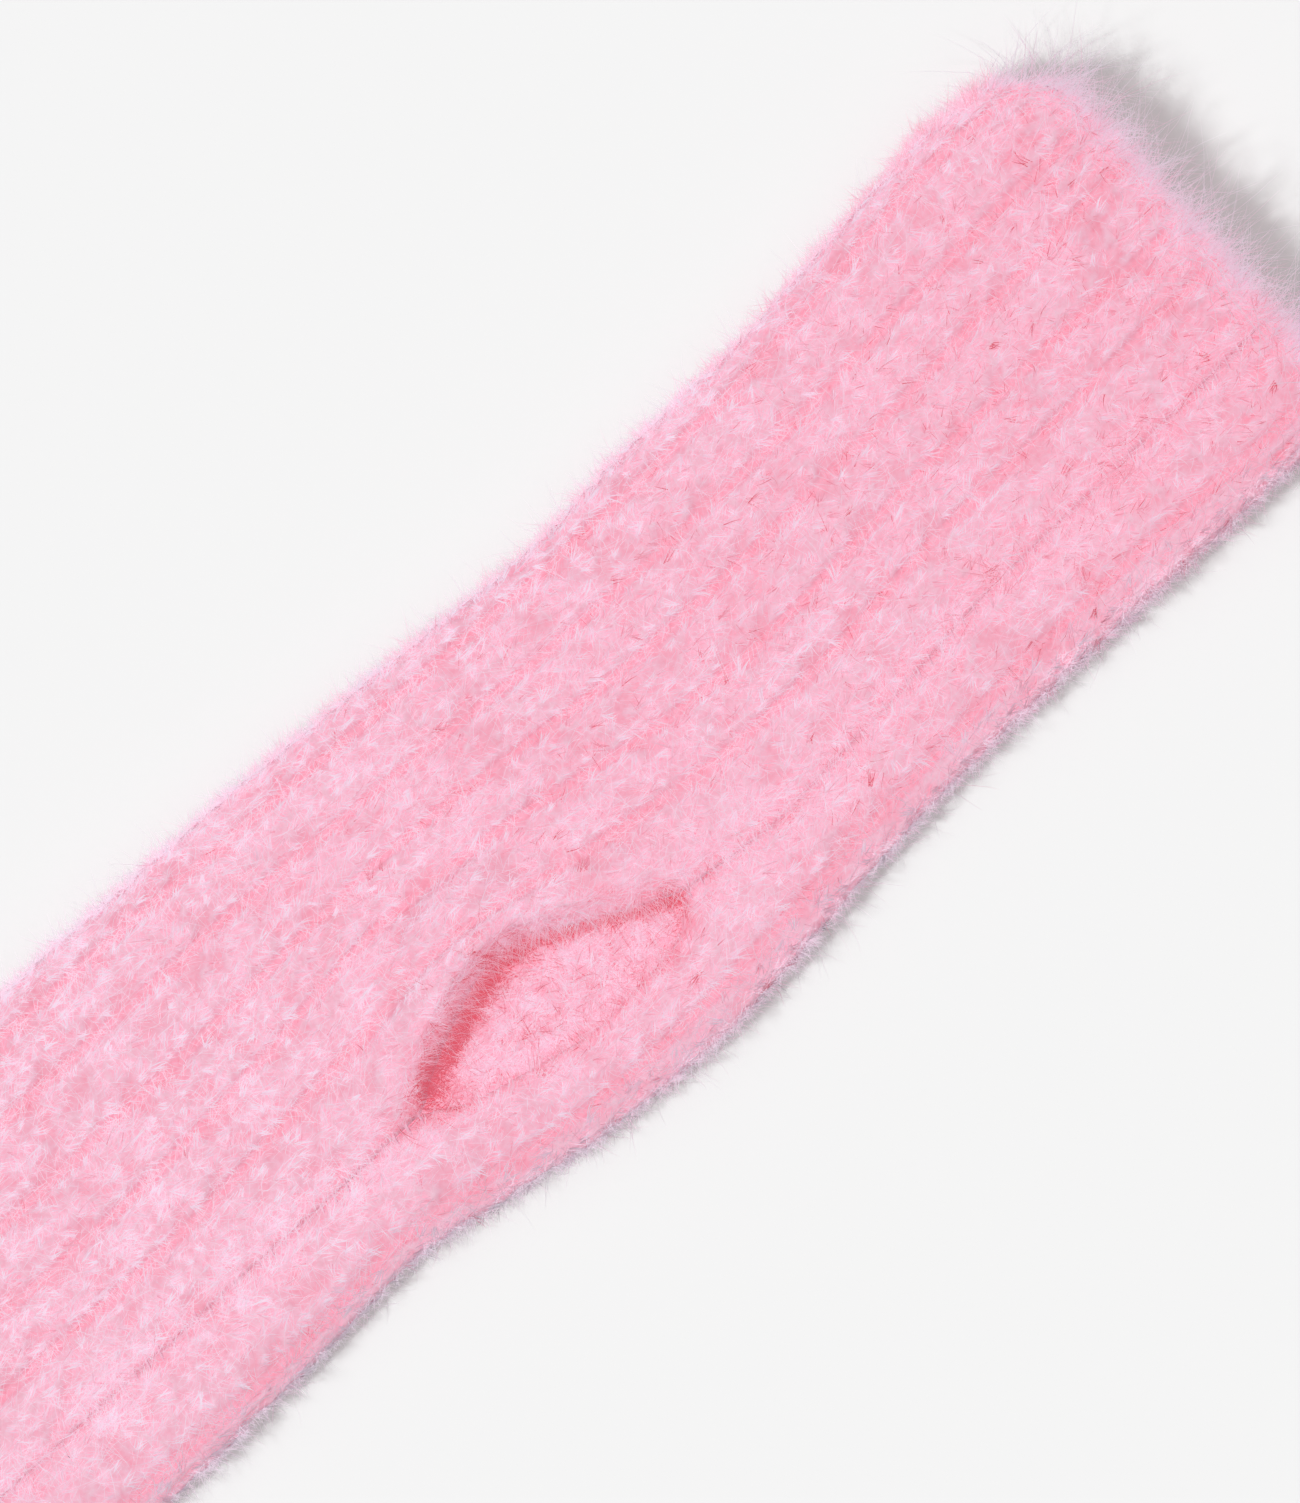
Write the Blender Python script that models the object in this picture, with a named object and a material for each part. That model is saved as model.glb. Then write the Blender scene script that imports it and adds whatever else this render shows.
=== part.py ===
"""Knitted arm warmer, lying flat: one ribbed panel, folded lengthwise and joined along the thumb side.

The panel is a thick wall, bent round into a flattened tube. Its two long edges meet in a seam on the
upper layer, 0.3 mm apart, and part there into the thumb opening. The ribs are raised in the wall's
outer points, and its inside is plain. The underside is flat.

Metres, +Z up. +X runs along the arm warmer to its hand end, +Y across it, away from the thumb side.
The origin is the middle of the underside. The sizes below are in millimetres.
"""

from collections import namedtuple
import math

import bmesh
import bpy

MILLIMETRE = 0.001

WALL = 4.2              # knitted wall with the body of its pile, at the top of a rib
RIB_DEPTH = 1.6         # how far a groove lies below the ribs beside it
WELT_LENGTH = 14.0      # the band of finer ribs at each end
WELT_BLEND = 3.0        # where the broad ribs pass into the fine ones
WELT_DEPTH = 1.0
WELT_DROP = 0.35        # the welt lies a little lower than the ribs
SEAM_GAP = 0.3          # between the panel's two long edges
CROWN = 0.9             # the upper layer's middle above its sides
EDGE_ROUNDING = 0.8     # taken off the inner corner along the panel's long edges
LIP_FULLNESS = 0.5      # share of a groove's depth that the thumb opening's lips fill out
LIPS_APART = 6.0        # from where the lips are this far apart
LIP_POINTS = 2          # and in this many points from the lip
END_ROUNDING = 1.0      # taken off both corners of the end rims
END_BLEND = 40.0        # the length over which an end's outline turns into the sides
SLOPE_STEP = 0.25       # the stretch of the form over which its slope is read
SHARP_EDGE = 60         # degrees; a flatter edge is shaded smooth

# The outline and the grooves of the upper layer: y of each line at x, the height of the folded tube
# and how far it rises off the surface. The seam runs along the thumb side.
Section = namedtuple("Section", "x far groove_1 groove_2 groove_3 groove_4 groove_5 seam groove_7 near "
                                "height rise")
SECTIONS = (
    Section(-185, 43.9, 36.4, 25.8, 13.6, 2.0, -9.0, -21.9, -35.9, -42.4, 10.6, 0.9),
    Section(-162, 44.6, 37.0, 26.2, 13.4, 1.7, -9.0, -21.6, -36.3, -43.0, 9.7, 0.1),
    Section(-130, 44.9, 37.4, 26.6, 13.1, 1.6, -8.8, -21.7, -36.8, -43.4, 9.4, 0.0),
    Section(-95, 44.7, 37.4, 26.5, 12.9, 1.5, -8.8, -21.7, -37.5, -43.6, 9.5, 0.0),
    Section(-60, 44.5, 37.2, 26.5, 13.2, 1.6, -8.7, -21.7, -37.5, -42.6, 9.3, 0.0),
    Section(-36, 44.2, 36.8, 26.5, 13.8, 3.6, -6.7, -22.0, -35.6, -41.4, 9.4, 0.0),
    Section(-18, 43.8, 36.3, 26.3, 14.6, 5.6, -4.5, -22.2, -37.7, -44.4, 9.6, 0.0),
    Section(0, 43.2, 35.6, 25.6, 15.6, 7.7, -2.1, -22.8, -40.2, -47.2, 9.6, 0.0),
    Section(14, 42.5, 35.0, 24.9, 15.3, 7.0, -3.5, -23.3, -41.1, -48.6, 9.5, 0.0),
    Section(28, 41.6, 34.5, 24.2, 14.2, 5.2, -6.2, -23.8, -41.0, -49.3, 9.4, 0.0),
    Section(43, 40.6, 34.1, 23.2, 13.0, 2.4, -8.5, -24.4, -40.2, -48.3, 9.4, 0.0),
    Section(61, 39.6, 33.4, 22.5, 11.5, -0.2, -11.0, -26.0, -38.8, -46.0, 9.3, 0.0),
    Section(88, 41.1, 33.8, 22.4, 11.6, -1.1, -10.8, -24.3, -36.2, -43.8, 9.5, 0.0),
    Section(115, 41.8, 35.1, 23.2, 12.6, 1.4, -8.2, -21.6, -34.6, -43.2, 9.6, 0.0),
    Section(140, 44.3, 38.0, 25.0, 14.2, 2.5, -7.5, -20.8, -34.0, -43.2, 10.0, 0.2),
    Section(165, 46.2, 40.4, 26.4, 16.4, 3.1, -6.3, -20.1, -34.4, -43.2, 11.0, 1.1),
    Section(185, 45.2, 39.2, 26.6, 17.8, 3.3, -5.5, -19.2, -34.4, -42.8, 12.0, 2.4),
)

# The thumb opening: how far its lips part from the seam line, and how high the upper lip stands.
Lip = namedtuple("Lip", "x upper lower raised")
LIPS = (
    Lip(-44, 0.0, 0.0, 0.0),
    Lip(-30, 0.0, 0.0, 0.5),
    Lip(-18.5, 0.0, 0.0, 2.2),
    Lip(-10.5, 3.9, 3.6, 3.9),
    Lip(-3, 7.4, 5.3, 4.8),
    Lip(7, 11.1, 7.2, 4.9),
    Lip(14.5, 11.3, 8.2, 4.3),
    Lip(25, 6.7, 7.1, 3.0),
    Lip(36, 1.8, 5.2, 1.6),
    Lip(42.5, 0.0, 0.0, 0.9),
    Lip(56, 0.0, 0.0, 0.0),
)
LIP_EDGE = 0.35         # share of the rise that the lip's own edge has, because it curls down
LIP_CREST = 6.5         # from the lip's edge to the top of its roll
LIP_SLOPE = 17.0        # from there to where the roll ends

# The outline of the two ends: how far an end is drawn back at its corners.
End = namedtuple("End", "side x far_corner near_corner corner_width")
ENDS = (
    End(side=-1, x=-185.0, far_corner=3.0, near_corner=3.0, corner_width=14.0),
    End(side=1, x=185.0, far_corner=8.0, near_corner=2.5, corner_width=16.0),
)

# Where the points lie across one rib, as a share of its width. A rib starts in its groove.
RIB_SHARES = (0.0, 0.1, 0.28, 0.5, 0.72, 0.9)
WELT_SHARES = (0.0, 0.17, 0.33, 0.5, 0.67, 0.83)
RIB_ROUNDNESS = 0.55    # under 1 gives a broad rib and a narrow groove
SIDE_RIB = 11.7         # width of the rib that rounds each side
SIDE_STEPS = 3          # points from that rib's end to the flat underside
UNDERSIDE_STEPS = 8

# The stations along the arm warmer: from one x to the next in so many steps.
Stretch = namedtuple("Stretch", "start end steps")
STRETCHES = (
    Stretch(-185.0, -183.6, 1),
    Stretch(-183.6, -171.0, 3),
    Stretch(-171.0, -168.0, 1),
    Stretch(-168.0, -44.0, 10),
    Stretch(-44.0, -18.5, 5),
    Stretch(-18.5, 42.5, 15),
    Stretch(42.5, 60.0, 3),
    Stretch(60.0, 168.0, 11),
    Stretch(168.0, 171.0, 1),
    Stretch(171.0, 183.6, 4),
    Stretch(183.6, 185.0, 1),
)


def smooth_step(low, high, value):
    """0 below low, 1 above high, and a soft rise between them."""
    share = min(1.0, max(0.0, (value - low) / (high - low)))
    return share * share * (3.0 - 2.0 * share)


def read_table(rows, x, column):
    """A column's value at x, on a smooth curve through the table's rows."""
    x = min(rows[-1].x, max(rows[0].x, x))
    after = next(index for index in range(1, len(rows)) if x <= rows[index].x)
    before = after - 1

    def slope(index):
        low, high = rows[max(0, index - 1)], rows[min(len(rows) - 1, index + 1)]
        return (getattr(high, column) - getattr(low, column)) / (high.x - low.x)

    width = rows[after].x - rows[before].x
    share = (x - rows[before].x) / width
    rest = 1.0 - share
    start, end = getattr(rows[before], column), getattr(rows[after], column)
    bend = width * share * rest * (slope(before) * rest - slope(after) * share)
    return start * rest * rest * (1.0 + 2.0 * share) + end * share * share * (3.0 - 2.0 * share) + bend


def section_value(x, column):
    return read_table(SECTIONS, x, column)


def rise_at(x):
    """How far the underside lies off the surface. The curve through the table must not dip below it."""
    return max(0.0, section_value(x, "rise"))


def lip_value(x, column):
    return max(0.0, read_table(LIPS, x, column))


def upper_edge(x):
    """y of the panel's edge on the far side of the seam, or the upper lip of the thumb opening."""
    return section_value(x, "seam") + SEAM_GAP / 2 + lip_value(x, "upper")


def lower_edge(x):
    """y of the panel's edge on the near side of the seam, or the lower lip."""
    return section_value(x, "seam") - SEAM_GAP / 2 - lip_value(x, "lower")


def roll(distance):
    """Height of the upper lip's roll, as a share of its most, at a distance from the lip's edge."""
    if distance < LIP_CREST:
        return LIP_EDGE + (1.0 - LIP_EDGE) * math.sin(math.pi / 2 * max(0.0, distance) / LIP_CREST)
    return 1.0 - smooth_step(LIP_CREST, LIP_CREST + LIP_SLOPE, distance)


def top_height(x, y):
    """z of the ribs' tops on the upper layer."""
    radius = section_value(x, "height") / 2
    low, high = section_value(x, "near") + radius, section_value(x, "far") - radius
    across = min(1.0, max(-1.0, (2.0 * y - low - high) / (high - low)))
    height = rise_at(x) + 2.0 * radius + CROWN * (1.0 - across * across) ** 2
    from_lip = y - upper_edge(x)
    if from_lip > -SEAM_GAP:
        height += lip_value(x, "raised") * roll(from_lip)
    return height


# A point of the wall's outer form: its place in the section and the direction that faces out.
Place = namedtuple("Place", "y z out_y out_z")


def top_place(x, y):
    """The place at y on the upper layer."""
    low, high = y - SLOPE_STEP, y + SLOPE_STEP
    if upper_edge(x) <= y < upper_edge(x) + SLOPE_STEP:
        low = y
    slope = (top_height(x, high) - top_height(x, low)) / (high - low)
    length = math.hypot(slope, 1.0)
    return Place(y, top_height(x, y), -slope / length, 1.0 / length)


def side_place(x, side, run):
    """The place at a distance round the far (side 1) or near (side -1) fold, down to the underside."""
    radius = section_value(x, "height") / 2
    centre = section_value(x, "far" if side > 0 else "near") - side * radius
    angle = math.pi / 2 - run / radius
    return Place(centre + side * radius * math.cos(angle), rise_at(x) + radius * (1.0 + math.sin(angle)),
                 side * math.cos(angle), math.sin(angle))


def welt_share(x):
    """1 in the welts, 0 in the broad ribs."""
    from_end = ENDS[1].x - abs(x)
    return 1.0 - smooth_step(WELT_LENGTH, WELT_LENGTH + WELT_BLEND, from_end)


def rib_shares(x):
    """Where the points lie across one rib at x."""
    welt = welt_share(x)
    return tuple(broad + welt * (fine - broad) for broad, fine in zip(RIB_SHARES, WELT_SHARES))


def rounding_places(x, side, groove):
    """The rib that rounds a side, from its groove on top, and on to the start of the underside."""
    radius = section_value(x, "height") / 2
    flat = abs(section_value(x, "far" if side > 0 else "near") - section_value(x, groove)) - radius
    places = []
    for share in rib_shares(x) + (1.0,):
        run = share * SIDE_RIB
        if run < flat:
            places.append(top_place(x, section_value(x, groove) + side * run))
        else:
            places.append(side_place(x, side, run - flat))
    start, end = SIDE_RIB - flat, math.pi * radius
    for step in range(1, SIDE_STEPS + 1):
        places.append(side_place(x, side, start + (end - start) * step / SIDE_STEPS))
    return places


def section_places(x):
    """The wall's outer form at x, from the upper edge round the far side to the lower edge."""
    lines = [upper_edge(x)] + [section_value(x, f"groove_{number}") for number in (5, 4, 3, 2, 1)]
    places = []
    for low, high in zip(lines, lines[1:]):
        places += [top_place(x, low + share * (high - low)) for share in rib_shares(x)]
    places += rounding_places(x, 1, "groove_1")
    near = rounding_places(x, -1, "groove_7")
    start, end = places[-1].y, near[-1].y
    for step in range(1, UNDERSIDE_STEPS):
        places.append(Place(start + (end - start) * step / UNDERSIDE_STEPS, rise_at(x), 0.0, -1.0))
    places += reversed(near)
    low, high = section_value(x, "groove_7"), lower_edge(x)
    places += [top_place(x, low + share * (high - low)) for share in rib_shares(x)[1:] + (1.0,)]
    return places


def section_depths(one_rib):
    """How far each point of a section lies below the ribs' tops, from the depths across one rib."""
    groove = one_rib[0]
    fading = [groove * (1.0 - step / SIDE_STEPS) for step in range(SIDE_STEPS + 1)]
    side = one_rib + fading
    underside = [0.0] * (UNDERSIDE_STEPS - 1)
    return one_rib * 5 + side + underside + side[::-1] + one_rib[1:] + [groove]


def broad_depths():
    return section_depths([RIB_DEPTH * (1.0 - math.sin(math.pi * share) ** RIB_ROUNDNESS)
                           for share in RIB_SHARES])


def fine_depths():
    """The welt has three fine ribs in each broad one's width."""
    return section_depths([WELT_DROP + WELT_DEPTH * (number % 2 == 0)
                           for number in range(len(WELT_SHARES))])


def stations():
    """Every x where the wall has a section."""
    places = [STRETCHES[0].start]
    for stretch in STRETCHES:
        for step in range(1, stretch.steps + 1):
            places.append(stretch.start + (stretch.end - stretch.start) * step / stretch.steps)
    return places


def drawn_back(x, y):
    """How far the outline's corners draw a point back along x, near an end."""
    back = 0.0
    for end in ENDS:
        near_end = smooth_step(END_BLEND, 0.0, abs(x - end.x)) if abs(x - end.x) < END_BLEND else 0.0
        far = smooth_step(section_value(x, "far") - end.corner_width, section_value(x, "far"), y)
        near = smooth_step(-section_value(x, "near") - end.corner_width, -section_value(x, "near"), -y)
        back += end.side * near_end * (end.far_corner * far ** 2 + end.near_corner * near ** 2)
    return back


def wall_points(x, broad, fine, is_end):
    """The outer points of the wall at x, and its inner points, which are half as many."""
    welt = welt_share(x)
    apart = min(1.0, (lip_value(x, "upper") + lip_value(x, "lower")) / LIPS_APART)
    outer, inner = [], []
    places = section_places(x)
    for index, place in enumerate(places):
        flat = place.out_z == -1.0
        from_edge = min(index, len(places) - 1 - index)
        depth = broad[index] * (1.0 - welt) + fine[index] * welt
        thickness = WALL
        if from_edge < LIP_POINTS:
            depth *= 1.0 - LIP_FULLNESS * apart
        if from_edge == 0:
            thickness -= EDGE_ROUNDING
        if is_end:
            depth += END_ROUNDING
            thickness -= END_ROUNDING
        if flat:
            depth = 0.0
        back = drawn_back(x, place.y)
        outer.append((x - back, place.y - depth * place.out_y, place.z - depth * place.out_z))
        if index % 2 == 0:
            inner.append((x - back, place.y - thickness * place.out_y, place.z - thickness * place.out_z))
    return outer, inner


def panel_mesh(name):
    """The whole wall as one closed mesh, centred on the origin."""
    broad, fine = broad_depths(), fine_depths()
    places = stations()
    rows = [wall_points(x, broad, fine, x in (places[0], places[-1])) for x in places]
    widths = [point[1] for outer, _ in rows for point in outer]
    middle = (max(widths) + min(widths)) / 2

    mesh = bmesh.new()

    def add_vertices(points):
        return [mesh.verts.new((x * MILLIMETRE, (y - middle) * MILLIMETRE, z * MILLIMETRE))
                for x, y, z in points]

    outer = [add_vertices(row[0]) for row in rows]
    inner = [add_vertices(row[1]) for row in rows]
    for before, after in zip(outer, outer[1:]):
        for left in range(len(before) - 1):
            mesh.faces.new((before[left], after[left], after[left + 1], before[left + 1]))
    for before, after in zip(inner, inner[1:]):
        for left in range(len(before) - 1):
            mesh.faces.new((before[left + 1], after[left + 1], after[left], before[left]))
    for station in range(len(rows) - 1):
        mesh.faces.new((outer[station][0], inner[station][0], inner[station + 1][0],
                        outer[station + 1][0]))
        mesh.faces.new((inner[station][-1], outer[station][-1], outer[station + 1][-1],
                        inner[station + 1][-1]))
    for station, turned in ((0, False), (len(rows) - 1, True)):
        for left in range(len(inner[station]) - 1):
            rim = outer[station][2 * left:2 * left + 3] + [inner[station][left + 1], inner[station][left]]
            mesh.faces.new(rim[::-1] if turned else rim)
    bmesh.ops.triangulate(mesh, faces=mesh.faces[:])
    data = bpy.data.meshes.new(name)
    mesh.to_mesh(data)
    mesh.free()
    return data


def knit_material():
    """Soft pink brushed yarn."""
    material = bpy.data.materials.new("brushed_pink_yarn")
    material.use_nodes = True
    shader = material.node_tree.nodes["Principled BSDF"]
    shader.inputs["Base Color"].default_value = (0.90, 0.44, 0.58, 1.0)
    shader.inputs["Roughness"].default_value = 0.95
    shader.inputs["Metallic"].default_value = 0.0
    return material


def build():
    for old in list(bpy.data.objects):
        bpy.data.objects.remove(old, do_unlink=True)
    panel = bpy.data.objects.new("knitted_sleeve", panel_mesh("knitted_sleeve"))
    panel.data.materials.append(knit_material())
    panel.data.shade_smooth()
    panel.data.set_sharp_from_angle(angle=math.radians(SHARP_EDGE))
    bpy.context.scene.collection.objects.link(panel)


build()
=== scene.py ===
"""The looks of the knitted arm warmer: a brushed rib knit with its pile, lying on a pale floor.

Sizes are in millimetres until a mesh is made. The knit, its inside and its pile are all laid on one
form: the outline, grooves and heights of the flattened tube, read at x along it and at q round it. q
counts the ribs from the seam's upper edge over the far side and the underside to its lower edge.
"""
from collections import namedtuple
import math
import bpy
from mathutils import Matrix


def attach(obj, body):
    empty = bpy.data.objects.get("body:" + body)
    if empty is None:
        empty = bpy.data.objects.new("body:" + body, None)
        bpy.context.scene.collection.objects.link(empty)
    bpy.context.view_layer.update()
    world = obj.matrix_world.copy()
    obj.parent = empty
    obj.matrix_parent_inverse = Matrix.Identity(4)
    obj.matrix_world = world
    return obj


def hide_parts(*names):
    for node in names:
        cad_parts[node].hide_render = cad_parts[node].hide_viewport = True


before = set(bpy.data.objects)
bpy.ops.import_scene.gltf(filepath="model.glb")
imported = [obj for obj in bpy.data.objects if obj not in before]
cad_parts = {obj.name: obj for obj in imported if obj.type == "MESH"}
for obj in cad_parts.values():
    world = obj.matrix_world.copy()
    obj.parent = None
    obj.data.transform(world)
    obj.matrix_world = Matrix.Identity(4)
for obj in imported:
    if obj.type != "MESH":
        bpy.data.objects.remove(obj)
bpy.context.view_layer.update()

from types import SimpleNamespace

import bpy
from mathutils import Vector
import numpy as np

MILLIMETRE = 0.001
NODE = "knitted_sleeve"
BODY = "root"
UV_MAP = "OFBake"
MIDDLE_Y = -1.28  # the section table's y at the frame's origin

# The flattened tube
HALF_LENGTH = 185.0
SEAM_GAP = 0.3
CROWN = 0.9
SIDE_RIB = 11.7
RIBS = 16
UNDERSIDE_FROM, UNDERSIDE_TO = 6.0, 14.0
FAR_GROOVE, NEAR_GROOVE = 5.0, 15.0  # the grooves beside the two folds, as q
FAR_HALF = 8.0  # up to this q the cloth is on the far side
END_BLEND = 40.0

Section = namedtuple("Section", "x far groove_1 groove_2 groove_3 groove_4 groove_5 seam groove_7 near "
                                "height rise")
SECTIONS = tuple(Section(*row) for row in (
    (-185, 43.9, 36.4, 25.8, 13.6, 2.0, -9.0, -21.9, -35.9, -42.4, 10.6, 0.9),
    (-162, 44.6, 37.0, 26.2, 13.4, 1.7, -9.0, -21.6, -36.3, -43.0, 9.7, 0.1),
    (-130, 44.9, 37.4, 26.6, 13.1, 1.6, -8.8, -21.7, -36.8, -43.4, 9.4, 0.0),
    (-95, 44.7, 37.4, 26.5, 12.9, 1.5, -8.8, -21.7, -37.5, -43.6, 9.5, 0.0),
    (-60, 44.5, 37.2, 26.5, 13.2, 1.6, -8.7, -21.7, -37.5, -42.6, 9.3, 0.0),
    (-36, 44.2, 36.8, 26.5, 13.8, 3.6, -6.7, -22.0, -35.6, -41.4, 9.4, 0.0),
    (-18, 43.8, 36.3, 26.3, 14.6, 5.6, -4.5, -22.2, -37.7, -44.4, 9.6, 0.0),
    (0, 43.2, 35.6, 25.6, 15.6, 7.7, -2.1, -22.8, -40.2, -47.2, 9.6, 0.0),
    (14, 42.5, 35.0, 24.9, 15.3, 7.0, -3.5, -23.3, -41.1, -48.6, 9.5, 0.0),
    (28, 41.6, 34.5, 24.2, 14.2, 5.2, -6.2, -23.8, -41.0, -49.3, 9.4, 0.0),
    (43, 40.6, 34.1, 23.2, 13.0, 2.4, -8.5, -24.4, -40.2, -48.3, 9.4, 0.0),
    (61, 39.6, 33.4, 22.5, 11.5, -0.2, -11.0, -26.0, -38.8, -46.0, 9.3, 0.0),
    (88, 41.1, 33.8, 22.4, 11.6, -1.1, -10.8, -24.3, -36.2, -43.8, 9.5, 0.0),
    (115, 41.8, 35.1, 23.2, 12.6, 1.4, -8.2, -21.6, -34.6, -43.2, 9.6, 0.0),
    (140, 44.3, 38.0, 25.0, 14.2, 2.5, -7.5, -20.8, -34.0, -43.2, 10.0, 0.2),
    (165, 46.2, 40.4, 26.4, 16.4, 3.1, -6.3, -20.1, -34.4, -43.2, 11.0, 1.1),
    (185, 45.2, 39.2, 26.6, 17.8, 3.3, -5.5, -19.2, -34.4, -42.8, 12.0, 2.4),
))

Lip = namedtuple("Lip", "x upper lower raised")
LIPS = tuple(Lip(*row) for row in (
    (-44, 0.0, 0.0, 0.0),
    (-30, 0.0, 0.0, 0.5),
    (-18.5, 0.0, 0.0, 2.2),
    (-10.5, 3.9, 3.6, 3.9),
    (-3, 7.4, 5.3, 4.8),
    (7, 11.1, 7.2, 4.9),
    (14.5, 11.3, 8.2, 4.3),
    (25, 6.7, 7.1, 3.0),
    (36, 1.8, 5.2, 1.6),
    (42.5, 0.0, 0.0, 0.9),
    (56, 0.0, 0.0, 0.0),
))
LIP_EDGE = 0.35
LIP_CREST = 6.5
LIP_SLOPE = 17.0
LIPS_APART = 6.0

End = namedtuple("End", "side x far_corner near_corner corner_width")
ENDS = (
    End(side=-1, x=-185.0, far_corner=3.0, near_corner=3.0, corner_width=14.0),
    End(side=1, x=185.0, far_corner=8.0, near_corner=2.5, corner_width=16.0),
)

# The knit under the pile
PILE = 1.3  # from the wall's outside down to the yarn at the top of a rib
INSIDE = 3.6  # from the wall's outside down to the yarn's inner face
THINNEST = 0.35
KNIT_HALF = 183.6  # half the length of the knit itself; its pile fills the rest
SEAM_CLOSING = 0.13  # how far each of the knit's edges goes across the gap of the seam
SEAM_CLOSED = 0.1  # over this many ribs from the seam
END_ROUNDING_LENGTH = 1.8
END_ROUNDING = 1.0
INSIDE_END_ROUNDING = 0.6

# Its ribs. Depths are in millimetres, and shares are of the whole depth.
RIB_DEPTH = 1.45
RIB_ROUNDNESS = 0.55
GROOVE_LEAST, GROOVE_SPREAD = 0.5, 0.65
FLAT_RIB_SHARE = 0.35  # how much of the ribs' depth is left on the underside, which is pressed flat
PRESSED = 0.6  # how much of the stitches and the pile is pressed away there
UNEVENNESS = 0.45
TROUGH_DEPTH = 0.35  # the ribs' troughs on the inside
TROUGH_ROUNDNESS = 0.7
WELT_LENGTH = 14.0
WELT_BLEND = 3.0
WELT_DEPTH = 1.1
WELT_DROP = 0.35
WELT_RIBS = 3  # fine ribs in a broad one's width
WELT_ROUNDNESS = 0.8
LIP_ROUNDING = 1.6  # how far the knit drops at the lips of the thumb opening
LIP_ROUNDED = 0.45  # over this many ribs from the lip
LIP_FLATTENED = 0.6  # how much of the depth is lost there
SEAM_FLATTENED = 0.8  # and along the seam
SEAM_WIDTH = 0.2

# Its stitches. Two slanting legs make one, and a stitch's height goes from 0 in the pits to 1.
COURSE = 2.9  # from one row of stitches to the next
WALES = 2  # columns of stitches on a rib
WALE_FROM, WALE_TO = 0.07, 0.93
WALE_NUMBERS = 8  # numbers kept for the columns of one rib
WALE_SHIFT = 0.35  # the most courses by which a column is shifted
FIRST_COURSE = 200  # keeps the courses' numbers above 0
STITCH_DEPTH = 0.8
STITCH_SLANT = 1.1  # courses that the two legs of a stitch climb
STITCH_ROUNDNESS = 0.6
COURSE_EDGE = 0.3  # a leg's height where one course meets the next
STITCH_LEAST, STITCH_SPREAD, STITCH_MOST = 0.7, 0.6, 1.15
GROOVE_STITCH = 0.25  # the yarn's height in the grooves
BARE_SHARE = 0.16  # stitch legs that the pile leaves bare
BARE_DEPTH = 0.85
SHIFT_SEED, STITCH_SEED, BARE_SEED = 3, 4, 8
STITCH_ROWS, STITCH_COLUMNS = 97, 193  # of the tables of random numbers
INSIDE_SHIFT = (1.3, 0.21)  # the stitches of the inside against those of the outside, in x and q

# Soft random patches: their length along the cloth, how many lie in a rib's width, and their seed
PATCH_TABLE = 64  # random numbers each way, after which the patches come again
Patches = namedtuple("Patches", "length in_rib seed")
GROOVE_PATCHES = Patches(13.0, 7.3, 6)
HEIGHT_PATCHES = Patches(9.0, 1.3, 5)
TUFT_PATCHES = Patches(3.0, 3.5, 50)  # its seed is added to the coat's own
TONE_PATCHES = Patches(4.0, 2.6, 79)

# The lower layer rises into the thumb opening
Bulge = namedtuple("Bulge", "x y length width height")
BULGE = Bulge(x=12.0, y=-24.0, length=28.0, width=10.0, height=1.6)
BULGE_PITS = 0.6

# Painted shade in the thumb opening: the crease under the upper lip, the lower layer's foot and the lips'
# sides are painted a deeper pink, where shade falls. A shade starts and is full at two distances from a
# lip's line, and has one strength in the opening's right part and so much more in its left part.
Shade = namedtuple("Shade", "none_at full_at strength more_left")
CREASE_CORE = Shade(2.8, 0.8, 0.8, 0.0)
CREASE_SIDES = Shade(7.5, 1.5, 0.17, 0.2)
LOWER_FOOT = Shade(3.0, 0.5, 0.2, 0.0)
UPPER_LIP = Shade(7.0, 1.0, 0.4, 0.4)
LOWER_LIP = Shade(2.5, 0.0, 0.3, 0.0)
LEFT_PART = (20.0, 8.0)  # the x where it starts, and where it is full, as in the pairs below
CREASE_END, CREASE_END_LOSS = (-3.0, -12.0), 0.45
LIP_END, LIP_END_MORE = (4.0, -6.0), 0.3
RIGHT_CORNER, RIGHT_CORNER_MORE = (34.0, 39.0), 0.4
ALONG_OPENING, ALONG_LEFT = 0.6, 0.4
# the lips' gap from which the opening's painted shade is full
OPENING_FULL_SHADE = 0.3  # the lips' gap, as a share of the most, from which it is fully deep
UPPER_LIP_RIBS = 3.0
GROOVE_SHADE = (0.16, 0.02)  # in ribs from the groove

# The seam just outside the thumb opening's two ends, where the pile is denser and painted shade deepens
# its pink
Beside = namedtuple("Beside", "x none_at full_at strength")
BESIDE_OPENING = (Beside(-17.0, 9.0, 4.0, 1.0), Beside(40.5, 3.5, 1.0, 0.3))

# Painted shade on the knit, as parts of a whole: its colour deepens where shade falls, by its depth, in
# its pits, on its inside and in the thumb opening
DEPTH_SHADE_PART, PIT_SHADE_PART = 0.2, 0.6
INSIDE_SHADE_PART, INSIDE_PIT_SHADE_PART, OPENING_SHADE_PART = 0.25, 0.45, 0.5
OUTER_MAP, INNER_MAP = 0.7, 0.28  # the widths of the two faces in the UV map

# The mesh of the knit: how finely each stretch along it and round it is divided
Stretch = namedtuple("Stretch", "start end steps")
OUTER_ROWS = (Stretch(-KNIT_HALF, KNIT_HALF, 480),)
INNER_ROWS = (Stretch(-KNIT_HALF, -34, 60), Stretch(-34, 56, 150), Stretch(56, KNIT_HALF, 60))
OUTER_COLUMNS = (Stretch(0, 6, 78), Stretch(6, 7, 8), Stretch(7, 13, 30), Stretch(13, 14, 8),
                 Stretch(14, 16, 26))
INNER_COLUMNS = (Stretch(0, 10, 20), Stretch(10, 14.5, 45), Stretch(14.5, 16, 6))

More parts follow.
